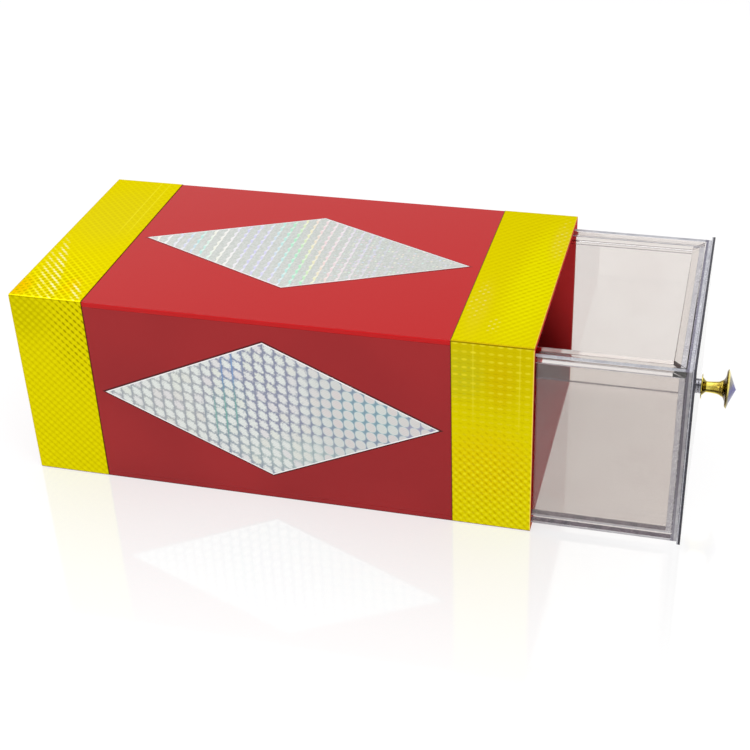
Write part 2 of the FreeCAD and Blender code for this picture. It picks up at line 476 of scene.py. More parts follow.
class Lattice:
    """A square lattice of cells on a foil."""

    def __init__(self, bench: FinishBench, u: Reading, v: Reading,
                 pitch: tuple[float, float], offset: float = 0.0) -> None:
        """Lay the lattice.

        Args:
            bench: The bench of the finish.
            u: Place along the foil.
            v: Place across the foil.
            pitch: The cells' length and height.
            offset: How much of a cell the lattice is moved both ways.
        """
        self.bench = bench
        cell_u, cell_v = u / pitch[0] + offset, v / pitch[1] + offset
        self.column, self.row = cell_u.whole(), cell_v.whole()
        self.left, self.up = cell_u.rest() - 0.5, cell_v.rest() - 0.5

    def luck(self, seed: float) -> Reading:
        """Give each cell its own unrelated number, 0 to 1."""
        return self.bench.chance(self.column, self.row, seed)

    def lozenge(self, lean: float, half_long: float, half_short: float, soft: float = 0.35) -> Reading:
        """Give a leaning lozenge in each cell.

        Args:
            lean: The angle of its long way from level, in degrees.
            half_long: Half its length as a share of a cell.
            half_short: Half its width as a share of a cell.
            soft: How soft its edge is.

        Returns:
            1 in its middle, easing to 0 outside it.
        """
        turn = math.radians(lean)
        along = (self.left * math.cos(turn) + self.up * math.sin(turn)) / half_long
        across = (self.up * math.cos(turn) - self.left * math.sin(turn)) / half_short
        return (along ** 2.0 + across ** 2.0).worked("SQRT").step(1.0 + soft, 1.0 - soft)

    def column_line(self, reach: float) -> Reading:
        """Give the thin line between two columns, 1 at its middle."""
        return self.left.size().step(0.5 - reach, 0.5)


@dataclass(frozen=True)
class RedSheet:
    """Glossy red cast sheet, with painted light: the top's own red, a highlight on the top sheet's edge,
    light and shade inside, and shadow along the foot and round the foil.
    """

    name: str = "red_cast_sheet"
    face: Colour = tone(187, 38, 42)
    deep: Colour = tone(177, 33, 38)
    # Painted light: the red of faces that point up, set apart from the sides'.
    top_face: Colour = tone(191, 4, 8)
    # Painted highlight: the bright red of the top sheet's edge and rounding.
    edge: Colour = tone(226, 8, 16)
    lit_inside: Colour = tone(246, 70, 72)
    dim_inside: Colour = tone(104, 20, 22)
    # Painted shadow colour for the lines round the foil and along the foot.
    shadow_tone: Colour = tone(82, 10, 12)
    roughness: float = 0.15
    ior: float = 1.30
    band_edge: float = 102.0
    diamond_half: tuple[float, float] = (95.5, 43.0)
    side_middle: float = 58.95
    top_middle: float = 3.0
    top_height: float = 115.5
    half_width: float = 76.0
    sheet: float = 3.0
    light_slope: float = 1.6
    light_span: tuple[float, float] = (227.0, 306.0)

    def around_diamond(self, along: Reading, across: Reading) -> Reading:
        """Give the fine shadow line just outside a diamond's edge.

        Args:
            along: Place from the diamond's middle along the box.
            across: Place from its middle the other way.

        Returns:
            The line's strength.
        """
        half_along, half_across = self.diamond_half
        slope = half_along * half_across / math.hypot(half_along, half_across)
        outside = (along.size() / half_along + across.size() / half_across - 1.0) * slope
        return outside.band(0.38, 0.38, 0.30)

    def beside_foil(self, along: Reading, across: Reading, up: Reading, side_on: Reading) -> Reading:
        """Give the fine shadow lines beside the bands and round the diamonds.

        Args:
            along: Place along the box.
            across: Place across it.
            up: Height.
            side_on: How far the surface faces a side.

        Returns:
            The lines' strength, at most 1.
        """
        band = (along.size() - self.band_edge).band(0.0, 0.10, 0.40)
        on_side = side_on * across.size().step(self.half_width - 0.3, self.half_width - 0.1)
        on_top = up.step(self.top_height - 0.3, self.top_height - 0.1)
        round_side = self.around_diamond(along, up - self.side_middle) * on_side
        round_top = self.around_diamond(along, across - self.top_middle) * on_top
        shade = band * on_side.larger(on_top) * 0.8 + round_side * 0.9 + round_top * 0.45
        return shade.smaller(1.0)

    def build(self) -> Material:
        """Make the material."""
        bench = FinishBench(self.name)
        along, across, up = bench.places()
        facing = bench.facing()
        at = bench.point(along, across, up)
        side_on = facing[1].size().step(0.6, 0.9)
        colour = bench.blend(bench.cloud(at, 0.012, 1.0).step(0.35, 0.65), self.face, self.deep)
        # Painted light: faces that point up take their own red.
        colour = bench.blend(facing[2].step(0.6, 0.9), colour, self.top_face)
        # Painted highlight: a bright red line along the top sheet's edge on the sides and over the rounding.
        top_sheet = self.top_height - self.sheet
        on_rounding = up.step(self.top_height - 0.1, self.top_height - 0.7)
        edge = up.step(top_sheet - 0.1, top_sheet + 0.1) * side_on.larger(on_rounding)
        colour = bench.blend(edge, colour, self.edge)
        # Painted light and shade: the far side's inner face is lit near the mouth and the top, and darker
        # deeper in and lower down.
        inside = across.step(self.half_width - 16.0, self.half_width - 10.0) * (-facing[1]).step(0.6, 0.9)
        depth = (along * self.light_slope + up).step(*self.light_span)
        colour = bench.blend(inside, colour, bench.blend(depth, self.dim_inside, self.lit_inside))
        # Painted shade: the sides darken along their bottom edge, in the shadow tone.
        hem = up.step(0.9, 0.3) * side_on
        colour = bench.blend(hem * 0.6, colour, self.shadow_tone)
        # Painted shadow lines beside the foil bands and round the diamonds.
        colour = bench.blend(self.beside_foil(along, across, up, side_on), colour, self.shadow_tone)
        mottle = bench.cloud(at, 0.45, 3.0, 0.6)
        dust = bench.cloud(at, 2.2, 2.0, 0.7).step(0.68, 0.78)
        end_on = facing[0].size().step(0.6, 0.9)
        gloss = mottle * 0.05 + dust * 0.10 + end_on * 0.5 + (self.roughness - 0.025)
        ripple = bench.relief(bench.cloud(at, 0.05, 2.0, 0.45), 0.10, 0.35)
        shader = bench.shader(Base_Color=colour, Roughness=gloss, IOR=self.ior, Normal=ripple)
        return bench.done(shader.outputs[0])


@dataclass(frozen=True)
class Mark:
    """A small leaning mark that repeats over a foil's lattice, stronger in some areas."""

    tint: Colour
    lean: float
    half_long: float
    half_short: float
    patches: tuple[Patch, ...] = ()
    ground: float = 0.0
    uneven: float = 0.0
    seed: float = 1.0
    twice: bool = True
    shift: float = 0.0

    def share(self, bench: FinishBench, u: Reading, v: Reading, pitch: tuple[float, float]) -> Reading:
        """Give how strongly the mark shows at a point.

        Args:
            bench: The bench of the finish.
            u: Place along the foil.
            v: Place across the foil.
            pitch: The lattice's cells.

        Returns:
            The mark's strength.
        """
        shape = None
        for offset in (0.0, 0.5) if self.twice else (0.0,):
            cells = Lattice(bench, u + self.shift * pitch[0], v, pitch, offset)
            drawn = cells.lozenge(self.lean, self.half_long, self.half_short, 0.5)
            if self.uneven:
                drawn = drawn * (cells.luck(self.seed + offset) * self.uneven).away_from(1.0)
            shape = drawn if shape is None else shape.larger(drawn)
        return shape * over_patches(bench, u, v, self.patches, self.ground)


@dataclass(frozen=True)
class GoldFoil:
    """Holographic gold foil: a square lattice of small marks, with painted sparkle and sheen in patches and
    painted light and shade at its edges and fold.
    """

    name: str
    side_tints: tuple[tuple[Patch, Colour], ...]
    side_marks: tuple[Mark, ...]
    top_tints: tuple[tuple[Patch, Colour], ...]
    top_marks: tuple[Mark, ...]
    side_streaks: tuple[float, ...] = ()
    top_streaks: tuple[float, ...] = ()
    fold_shade_share: float = 0.8
    outer_end: float = 43.0
    width: float = 43.0
    fold: float = 115.0
    top_end: float = 266.6
    pitch: tuple[float, float] = (4.7, 4.65)
    side: Colour = tone(220, 207, 5)
    top: Colour = tone(238, 224, 20)
    # Painted highlight colour for the outer cut edge.
    cut_edge_light: Colour = tone(255, 214, 104)
    # Painted shade colour for the band's inner edge.
    shade_line: Colour = tone(96, 60, 8)
    # Painted shade colour for the fold.
    fold_line: Colour = tone(138, 112, 6)
    gleam: Colour = tone(255, 236, 70)
    side_streak: Colour = tone(238, 226, 60)
    top_streak: Colour = tone(252, 244, 90)

    def laid(self, bench: FinishBench, u: Reading, v: Reading, ground: Colour,
             tints: Sequence[tuple[Patch, Colour]], marks: Sequence[Mark]) -> Socket:
        """Lay tints and marks over an even ground.

        Args:
            bench: The bench of the finish.
            u: Place along the foil.
            v: Place across the foil.
            ground: The ground's colour.
            tints: Soft areas, each with its colour.
            marks: The marks, in the order that they are laid.

        Returns:
            The colour.
        """
        grain = bench.cloud(bench.point(u, v), 0.9, 3.0, 0.7)
        red, green, blue, full = ground
        darker = (red * 0.72, green * 0.72, blue * 0.72, full)
        colour = bench.blend(grain.step(0.3, 0.7) * 0.22, ground, darker)
        for patch, tint in tints:
            colour = bench.blend(patch.share(bench, u, v), colour, tint)
        for mark in marks:
            colour = bench.blend(mark.share(bench, u, v, self.pitch).smaller(1.0), colour, mark.tint)
        return colour

    def build(self) -> Material:
        """Make the material."""
        bench = FinishBench(self.name)
        u, v = bench.flat_places()
        on_top = v.step(self.fold, self.fold + 0.5) * v.step(self.top_end + 0.5, self.top_end)
        near = self.laid(bench, u, v, self.side, self.side_tints, self.side_marks)
        drift = bench.cloud(bench.point(u * 0.03, v * 0.03), 1.5, 2.0)
        for streak in self.side_streaks:
            line = u.band(streak, 0.12, 0.40) * v.step(58.0, 80.0)
            near = bench.blend(line * (drift * 0.4 + 0.06), near, self.side_streak)
        flat = self.laid(bench, u, v, self.top, self.top_tints, self.top_marks)
        for streak in self.top_streaks:
            line = u.band(streak, 0.15, 0.50) * v.step(186.0, 214.0)
            flat = bench.blend(line * (drift * 0.5 + 0.25), flat, self.top_streak)
        # Painted light: the band's top has a brighter ground than its sides.
        colour = bench.blend(on_top, near, flat)
        # Painted light: a paler line along the band's outer cut edge.
        outer = (u - self.outer_end).size().step(0.55, 0.30)
        colour = bench.blend(outer * 0.75, colour, self.cut_edge_light)
        # Painted shade: a dark line along the band's inner edge, where it meets the red.
        inner = (u - (self.width - self.outer_end)).size().step(0.40, 0.20)
        colour = bench.blend(inner * 0.8, colour, self.shade_line)
        # Painted shade: a dark line along the fold over the sleeve's top edge.
        colour = bench.blend(v.band(self.fold, 0.55, 0.40) * self.fold_shade_share, colour, self.fold_line)
        relief = bench.relief(bench.cloud(bench.point(u, v), 0.8, 3.0, 0.7), 0.04, 0.25)
        gloss = bench.cloud(bench.point(u, v), 0.6, 2.0) * 0.14 + 0.24
        shader = bench.shader(
            Base_Color=colour, Metallic=1.0, Roughness=gloss, Normal=relief, Specular_Tint=self.gleam)
        return bench.done(shader.outputs[0])


# The marks follow the foil's pressed lattice; how pale, bright and dark they show, and the tinted patches,
# are painted glints, sheen and shade.
PALE_GLINT = tone(255, 255, 232)
BRIGHT_GLINT = tone(255, 252, 40)
OLIVE = tone(150, 136, 0)
CLOSED_END_GOLD = GoldFoil(
    "gold_foil_closed_end",
    side_tints=((Patch((6.0, 106.0), (26.0, 26.0), 0.8), tone(200, 188, 2)),),
    side_marks=(
        Mark(
            tone(238, 230, 12), lean=-45.0, half_long=0.24, half_short=0.20,
            ground=0.50, uneven=0.4, seed=3.0, shift=0.5,
        ),
        Mark(
            OLIVE, lean=-52.0, half_long=0.27, half_short=0.11,
            patches=(Patch((42.0, 98.0), (30.0, 54.0), 0.70),),
            ground=0.25, uneven=0.3, seed=5.0,
        ),
    ),
    top_tints=(
        (Patch((20.0, 220.0), (40.0, 60.0), 0.6), tone(226, 212, 66)),
        (Patch((2.5, 124.0), (8.0, 16.0), 0.45), tone(252, 186, 14)),
        (Patch((30.0, 131.0), (7.0, 13.0), 0.55), tone(252, 206, 16)),
    ),
    top_marks=(
        Mark(
            tone(176, 160, 0), lean=45.0, half_long=0.26, half_short=0.16,
            patches=(Patch((16.0, 118.0), (36.0, 56.0), 0.55),),
            ground=0.14, uneven=0.3, seed=1.0, shift=0.5,
        ),
        Mark(
            BRIGHT_GLINT, lean=-31.0, half_long=0.36, half_short=0.11,
            patches=(Patch((16.0, 118.0), (36.0, 64.0), 0.85),),
            ground=0.20, uneven=0.3, seed=2.0,
        ),
        Mark(
            tone(250, 236, 150), lean=-31.0, half_long=0.26, half_short=0.10,
            patches=(Patch((14.0, 135.0), (9.0, 50.0), 0.6, -0.30),),
            uneven=0.6, seed=4.0,
        ),
        Mark(
            PALE_GLINT, lean=-31.0, half_long=0.30, half_short=0.115,
            patches=(
                Patch((14.5, 148.0), (4.2, 44.0), 1.4, -0.31),
                Patch((8.5, 144.0), (3.0, 32.0), 0.7, -0.27),
                Patch((35.5, 125.0), (4.0, 14.0), 1.0, -0.40),
            ),
            uneven=0.35, seed=7.0,
        ),
        Mark(
            tone(240, 146, 8), lean=-31.0, half_long=0.34, half_short=0.13,
            patches=(Patch((2.5, 124.0), (9.0, 18.0), 0.7),),
            uneven=0.4, seed=6.0,
        ),
    ),
    top_streaks=(29.8, 35.5),
    fold_shade_share=0.25,
    outer_end=0.0,
    cut_edge_light=tone(206, 180, 30),
)
MOUTH_GOLD = GoldFoil(
    "gold_foil_mouth",
    side_tints=(
        (Patch((21.5, 118.0), (60.0, 66.0), 0.85), tone(202, 184, 4)),
        (Patch((5.0, 96.0), (16.0, 22.0), 0.45), tone(186, 186, 30)),
        (Patch((26.0, 92.0), (10.0, 24.0), 0.4), tone(206, 176, 2)),
        (Patch((20.0, 40.0), (34.0, 34.0), 0.35), tone(222, 184, 6)),
    ),
    side_marks=(
        Mark(
            tone(160, 130, 0), lean=-52.0, half_long=0.25, half_short=0.12,
            patches=(Patch((21.5, 18.0), (60.0, 62.0), 0.45),),
            ground=0.06, uneven=0.4, seed=2.0,
        ),
        Mark(
            tone(234, 220, 44), lean=0.0, half_long=0.30, half_short=0.13,
            patches=(Patch((21.5, 100.0), (60.0, 56.0), 0.75),),
            ground=0.20, uneven=0.4, seed=3.0, twice=False,
        ),
        Mark(
            tone(170, 152, 4), lean=0.0, half_long=0.34, half_short=0.07,
            patches=(Patch((21.5, 88.0), (60.0, 40.0), 0.35),),
            uneven=0.5, seed=4.0,
        ),
        Mark(
            tone(240, 232, 36), lean=-45.0, half_long=0.20, half_short=0.17,
            patches=(Patch((21.5, 20.0), (60.0, 46.0), 0.7),),
            uneven=0.4, seed=8.0, shift=0.5,
        ),
        Mark(
            tone(166, 178, 60), lean=0.0, half_long=0.20, half_short=0.12,
            patches=(Patch((6.0, 92.0), (16.0, 26.0), 0.22),),
            uneven=0.9, seed=12.0, shift=0.5,
        ),
    ),
    top_tints=(
        (Patch((34.0, 190.0), (20.0, 90.0), 0.7, 0.05), tone(246, 240, 2)),
        (Patch((8.0, 152.0), (9.0, 44.0), 0.35), tone(238, 216, 70)),
        (Patch((38.0, 232.0), (8.0, 34.0), 0.4), tone(240, 216, 90)),
    ),
    top_marks=(
        Mark(
            tone(198, 178, 2), lean=36.0, half_long=0.28, half_short=0.12,
            patches=(Patch((30.0, 200.0), (26.0, 90.0), 0.25),),
            ground=0.22, uneven=0.5, seed=2.0, shift=0.5,
        ),
        Mark(
            tone(253, 250, 30), lean=36.0, half_long=0.28, half_short=0.11,
            patches=(Patch((30.0, 180.0), (22.0, 90.0), 0.6),),
            ground=0.20, uneven=0.4, seed=3.0,
        ),
        Mark(
            tone(255, 236, 196), lean=36.0, half_long=0.16, half_short=0.11,
            patches=(
                Patch((6.5, 156.0), (7.0, 30.0), 0.55),
                Patch((18.0, 134.0), (5.0, 12.0), 0.45),
                Patch((38.5, 236.0), (6.0, 34.0), 0.6),
            ),
            uneven=0.95, seed=9.0,
        ),
    ),
    side_streaks=(11.6, 35.8),
)


@dataclass(frozen=True)
class SilverFoil:
    """Holographic silver foil with a pale cut border; the pale rims of the beads at the right are painted
    highlights.
    """

    name: str = "silver_foil_upright"
    glitter: Glitter = Glitter.LOZENGES
    length: float = 191.0
    height: float = 86.0
    pitch: float = 6.1
    lean: float = 0.54
    squareness: float = 2.4
    bead: Colour = tone(230, 234, 230)
    rosy_bead: Colour = tone(224, 214, 220)
    sallow_bead: Colour = tone(224, 226, 204)
    right_beads: tuple[Colour, Colour] = (tone(208, 214, 210), tone(218, 202, 202))
    bead_rim_glint: Colour = tone(206, 232, 228)
    bead_hatch: Colour = tone(188, 196, 198)
    ground: Colour = tone(144, 148, 168)
    left_ground: Colour = tone(156, 161, 166)
    ground_tints: tuple[tuple[Patch, Colour], ...] = (
        (Patch((58.0, 4.0), (44.0, 24.0), 0.95), tone(132, 164, 176)),
        (Patch((14.0, -28.0), (56.0, 20.0), 0.8), tone(176, 194, 190)),
        (Patch((84.0, -2.0), (16.0, 12.0), 0.6), tone(176, 162, 190)),
    )
    blue_area: Patch = Patch((-20.0, 24.0), (10.0, 20.0), 1.0, 0.2)
    green_area: Patch = Patch((-24.0, -4.0), (15.0, 26.0), 1.0, 0.2)
    blue_ground: Colour = tone(110, 150, 206)
    green_ground: Colour = tone(120, 190, 166)
    thread: Colour = tone(128, 136, 158)
    blue_thread: Colour = tone(84, 150, 214)
    green_thread: Colour = tone(92, 196, 164)
    flat_grounds: tuple[Colour, Colour] = (tone(203, 208, 202), tone(220, 222, 219))
    knot: Colour = tone(255, 255, 252)
    rainbow: tuple[tuple[float, Colour], ...] = (
        (-90.0, tone(250, 250, 232)), (-80.0, tone(240, 240, 246)), (-70.0, tone(214, 216, 244)),
        (-62.0, tone(182, 236, 228)), (-54.0, tone(250, 250, 236)), (-44.0, tone(250, 246, 246)),
        (-34.0, tone(214, 212, 248)), (-20.0, tone(226, 222, 250)), (-12.0, tone(190, 240, 232)),
        (-4.0, tone(170, 242, 196)), (4.0, tone(248, 246, 196)), (12.0, tone(250, 222, 224)),
        (24.0, tone(246, 232, 240)), (40.0, tone(222, 218, 244)), (60.0, tone(214, 220, 236)),
        (76.0, tone(226, 240, 224)), (90.0, tone(250, 246, 222)),
    )
    rainbow_reach: float = 96.0
    border: Colour = tone(250, 248, 248)
    border_span: tuple[float, float] = (0.66, 0.46)

    def bead_shape(self, bench: FinishBench, u: Reading, v: Reading, cells: Lattice, right: Reading,
                   waver: Reading) -> Reading:
        """Give the beads: ragged leaning ovals at the left, smaller lozenges at the right.

        Args:
            bench: The bench of this finish.
            u: Place along the diamond.
            v: Place across the diamond.
            cells: The lattice.
            right: How far to the right the point lies, 0 to 1.
            waver: Smooth random variation.

        Returns:
            1 on a bead, easing to 0 off it.
        """
        leaning = v / self.pitch + cells.left * self.lean + waver * 0.16
        rung = (leaning.rest() - 0.5).size()
        ragged = bench.cloud(bench.point(u, v), 0.8, 2.0, 0.6)
        oval = (rung * 2.0) ** self.squareness + (cells.left.size() * 1.98) ** self.squareness
        wide = (oval + ragged * 2.2).step(2.25, 1.25)
        narrow = cells.lozenge(-50.0, 0.56, 0.44, 0.16)
        bead = wide * right.away_from(1.0) + narrow * right
        return (bead * (waver * 0.3 + 0.85)).smaller(1.0)

    def bead_face(self, bench: FinishBench, u: Reading, v: Reading, cells: Lattice, right: Reading) -> Socket:
        """Give the beads' colour, a little different from cell to cell.

        Args:
            bench: The bench of this finish.
            u: Place along the diamond.
            v: Place across the diamond.
            cells: The lattice.
            right: How far to the right the point lies, 0 to 1.

        Returns:
            The colour.
        """
        face = bench.blend(cells.luck(2.0).step(0.55, 1.0) * 0.5, self.bead, self.rosy_bead)
        face = bench.blend(cells.luck(8.0).step(0.6, 1.0) * 0.28, face, self.sallow_bead)
        face = bench.blend(right * 0.85, face, bench.blend(cells.luck(9.0) * 0.7, *self.right_beads))
        # Painted highlight: a pale rim round the beads towards the right.
        rim = cells.lozenge(-50.0, 0.50, 0.38, 0.10).away_from(1.0) * right
        face = bench.blend(rim * 0.55, face, self.bead_rim_glint)
        hatch = ((u - v * 1.15) * (math.tau / 1.7)).wave() * 0.5 + 0.5
        return bench.blend(hatch * 0.20, face, self.bead_hatch)

    def lozenges(self, bench: FinishBench, u: Reading, v: Reading) -> tuple[Socket, Reading]:
        """Lay the square lattice of leaning beads with tinted gaps and column threads.

        Args:
            bench: The bench of this finish.
            u: Place along the diamond.
            v: Place across the diamond.

        Returns:
            The colour and the relief.
        """
        cells = Lattice(bench, u, v, (self.pitch, self.pitch))
        right, left = u.step(2.0, 44.0), u.step(-22.0, -48.0)
        gap = bench.blend(left, self.ground, self.left_ground)
        for patch, tint in self.ground_tints:
            gap = bench.blend(patch.share(bench, u, v), gap, tint)
        blue = self.blue_area.share(bench, u, v)
        green = self.green_area.share(bench, u, v)
        gap = bench.blend(blue * 0.22, gap, self.blue_ground)
        gap = bench.blend(green * 0.26, gap, self.green_ground)
        waver = bench.cloud(bench.point(u, v), 0.5, 2.0, 0.6)
        bead = self.bead_shape(bench, u, v, cells, right, waver)
        face = self.bead_face(bench, u, v, cells, right)
        colour = bench.blend(bead.away_from(1.0) * (left * 0.20).away_from(1.0), face, gap)
        thread = bench.blend(blue, self.thread, self.blue_thread)
        thread = bench.blend(green * 0.8, thread, self.green_thread)
        line = cells.column_line(0.08) * (cells.luck(5.0) * 0.2 + blue.larger(green) * 0.3 + 0.28)
        return bench.blend(line, colour, thread), bead

    def waves(self, bench: FinishBench, u: Reading, v: Reading) -> tuple[Socket, Reading]:
        """Lay the bright wavy lines that the same lattice shows when it lies flat.

        Args:
            bench: The bench of this finish.
            u: Place along the diamond.
            v: Place across the diamond.

        Returns:
            The colour and the relief.
        """
        ripple = (v * (math.tau / self.pitch)).wave()
        cells = Lattice(bench, u + ripple * 0.055 * self.pitch, v, (self.pitch, self.pitch))
        line = (cells.left.size() - ripple * 0.03).step(0.150, 0.070)
        tint = bench.ramp(u + v * 0.35, -self.rainbow_reach, self.rainbow_reach, self.rainbow)
        fleck = bench.cloud(bench.point(u, v, 3.0), 0.8, 2.0, 0.7)
        ground = bench.blend(fleck.step(0.35, 0.65), *self.flat_grounds)
        small = Lattice(bench, u, v, (2.2, 2.6))
        speck = small.lozenge(35.0, 0.30, 0.22) * small.luck(4.0).step(0.35, 0.9)
        sparkle = speck * (u.step(-20.0, 50.0) * 0.75 + 0.15)
        ground = bench.blend(sparkle, ground, bench.hue(small.luck(6.0), 0.22, 0.96))
        fade = u.step(66.0, 14.0) * 0.78 + 0.10
        colour = bench.blend(line * fade, ground, tint)
        knot = line * cells.up.size().step(0.30, 0.10) * fade
        return bench.blend(knot * 0.6, colour, self.knot), line

    def build(self) -> Material:
        """Make the material."""
        bench = FinishBench(self.name)
        u, v = bench.flat_places()
        laid = {Glitter.LOZENGES: self.lozenges, Glitter.WAVES: self.waves}[self.glitter]
        colour, relief = laid(bench, u, v)
        half_along, half_up = self.length / 2.0, self.height / 2.0
        slope = half_along * half_up / math.hypot(half_along, half_up)
        inside = ((u.size() / half_along) + (v.size() / half_up)).away_from(1.0) * slope
        colour = bench.blend(inside.step(*self.border_span), colour, self.border)
        gloss = bench.cloud(bench.point(u, v), 0.5, 2.0) * 0.14 + 0.26
        normal = bench.relief(relief, 0.04, 0.3)
        shader = bench.shader(Base_Color=colour, Metallic=0.9, Roughness=gloss, Normal=normal)
        return bench.done(shader.outputs[0])


@dataclass(frozen=True)
class ClearSheet:
    """Clear cast sheet, a little grey, with faint rubs, and a painted dark line above the foot where one is
    given.
    """

    name: str = "clear_cast_sheet"
    tint: Colour = tone(243, 240, 238)
    hazy: Colour = tone(240, 236, 234)
    through: Colour = tone(251, 250, 250)
    shade_line: Colour = tone(96, 90, 94)
    foot: float | None = None
    roughness: float = 0.012
    ior: float = 1.49

    def build(self) -> Material:
        """Make the material."""
        bench = FinishBench(self.name)
        along, across, up = bench.places()
        at = bench.point(along, across, up)
        haze = bench.cloud(at, 0.03, 3.0, 0.6).step(0.40, 0.70)
        rubs = bench.cloud(at, 0.9, 4.0, 0.7, 1.5).step(0.62, 0.74)
        gloss = haze * 0.015 + rubs * 0.03 + self.roughness
        colour = bench.blend(haze * 0.5, self.tint, self.hazy)
        # Painted shade: a dark line just above the foot on upright faces, used on the rim strips.
        if self.foot is not None:
            upright = bench.facing()[2].size().step(0.9, 0.7)
            shade_line = up.step(self.foot + 0.8, self.foot + 0.5) * upright
            colour = bench.blend(shade_line * 0.9, colour, self.shade_line)
        sway = bench.relief(bench.cloud(at, 0.02, 1.0), 0.10, 0.25)
        shader = bench.shader(
            Base_Color=colour, Roughness=gloss, Normal=sway, IOR=self.ior, Transmission_Weight=1.0)
        path = bench.node("ShaderNodeLightPath").outputs
        passing = Reading(bench, path["Is Shadow Ray"]).larger(Reading(bench, path["Is Diffuse Ray"]))
        thin = bench.node("ShaderNodeBsdfTransparent", self.through)
        mixed = bench.node("ShaderNodeMixShader", passing, shader.outputs[0], thin.outputs[0])
        return bench.done(mixed.outputs[0])


@dataclass(frozen=True)
class SheetEdge:
    """A sawn and half-polished edge of clear sheet; its greys are partly the frosted edge and partly painted
    shade and reflection.
    """

    name: str = "sheet_edge"
    body: Colour = tone(222, 222, 229)
    streak: Colour = tone(196, 196, 207)
    clearness: float = 0.35
    ior: float = 1.49
    stripe: Colour = tone(132, 128, 146)
    stripe_span: tuple[float, float] = (219.2, 220.9)

    def build(self) -> Material:
        """Make the material."""
        bench = FinishBench(self.name)
        along, across, up = bench.places()
        at = bench.point(along * 0.15, across * 0.15, up * 0.15)
        streaks = bench.cloud(at, 1.0, 3.0, 0.6, 0.6).step(0.38, 0.66)
        colour = bench.blend(streaks, self.body, self.streak)
        # Painted shade: a darker stripe across the edges over one span along X.
        low, high = self.stripe_span
        striped = along.step(low - 0.2, low) * along.step(high + 0.2, high)
        colour = bench.blend(striped, colour, self.stripe)
        saw = bench.cloud(bench.point(along, across, up), 1.4, 2.0, 0.6)
        shader = bench.shader(
            Base_Color=colour, Roughness=saw * 0.2 + 0.16, IOR=self.ior,
            Transmission_Weight=self.clearness, Normal=bench.relief(saw, 0.03, 0.4),
        )
        return bench.done(shader.outputs[0])


@dataclass(frozen=True)
class TurnedMetal:
    """Turned and polished metal, with rings left by the tool and painted dark reflections in bands by facing.
    """

    name: str = "turned_gilt"
    face: Colour = tone(238, 220, 104)
    shade: Colour = tone(212, 188, 66)
    roughness: float = 0.10
    axis_height: float = 56.0
    dark_reflection_share: float = 0.0
    dark_reflection: Colour = tone(44, 26, 8)

    def build(self) -> Material:
        """Make the material."""
        bench = FinishBench(self.name)
        along, across, up = bench.places()
        at = bench.point(along, across, up)
        wear = bench.cloud(at, 0.35, 3.0, 0.6)
        colour = bench.blend(wear.step(0.42, 0.66), self.face, self.shade)
        facing = bench.facing()
        # Painted reflection: dark bands by the way the surface faces, standing in for dark surroundings
        # mirrored in the metal.
        behind = (-facing[0]).step(0.20, 0.55)
        low = facing[2].band(-0.12, 0.14, 0.22) * behind.away_from(1.0)
        high = facing[2].band(0.78, 0.05, 0.14) * 0.5
        dark = low + high + behind * facing[2].band(0.20, 0.30, 0.35)
        colour = bench.blend((dark * self.dark_reflection_share).smaller(1.0), colour, self.dark_reflection)
        radius = (across * across + (up - self.axis_height) ** 2.0).worked("SQRT")
        rings = (along * 9.0 + radius * 7.0).wave() * 0.5 + 0.5
        gloss = wear * 0.08 + rings * 0.03 + (self.roughness - 0.04)
        normal = bench.relief(rings, 0.01, 0.25)
        shader = bench.shader(Base_Color=colour, Metallic=1.0, Roughness=gloss, Normal=normal)
        return bench.done(shader.outputs[0])


@dataclass(frozen=True)
class Crystal:
    """Cut crystal with a blue-violet mirror back."""

    name: str = "cut_crystal"
    glow: Colour = tone(92, 86, 168)
    deep: Colour = tone(40, 38, 104)
    flash: Colour = tone(176, 160, 208)
    gilt_back: Colour = tone(134, 128, 74)
    ior: float = 1.40
    axis_height: float = 56.0

    def build(self) -> Material:
        """Make the material."""
        bench = FinishBench(self.name)
        along, across, up = bench.places()
        facing = bench.facing()
        ways = [(facing[axis] * fineness).whole() for axis, fineness in ((1, 9.0), (2, 9.0), (0, 5.0))]
        luck = bench.chance(*ways)
        colour = bench.blend(luck, self.glow, self.deep)
        colour = bench.blend(luck.step(0.76, 0.9) * 0.5, colour, self.flash)
        away = (up - self.axis_height).size().step(2.8, 6.0)
        colour = bench.blend(away * 0.7, colour, self.gilt_back)
        inner = bench.cloud(bench.point(along, across, up), 0.8, 2.0)
        shader = bench.shader(
            Base_Color=colour, Metallic=0.35, Roughness=inner * 0.06 + 0.02, IOR=self.ior,
            Coat_Weight=0.3, Coat_Roughness=0.02,
        )
        return bench.done(shader.outputs[0])


# ------------------------------------------------------------------ outlines


def ring_of(radius: float, x: float, y: float, z: float, steps: int = 40, turn: float = 0.0) -> list[Point]:
    """Give points round a circle that faces along X.

    Args:
        radius: The circle's radius.
        x: Its centre's place along X.
        y: Its centre's place along Y.
        z: Its centre's height.
        steps: How many points there are.
        turn: How far the first point is turned, in steps.

    Returns:
        The points, in order.
    """
    angles = [math.tau * (step + turn) / steps for step in range(steps)]
    return [(x, y + radius * math.cos(angle), z + radius * math.sin(angle)) for angle in angles]


def rectangle(x: float, reach: float, low: float, high: float) -> list[Point]:
    """Give the outline of a rectangle that faces along X, centred across the box.

    Args:
        x: Its place along X.
        reach: Half its width.
        low: Its underside's height.
        high: Its top's height.

    Returns:
        The corners, in order.
    """
    return [(x, -reach, low), (x, reach, low), (x, reach, high), (x, -reach, high)]


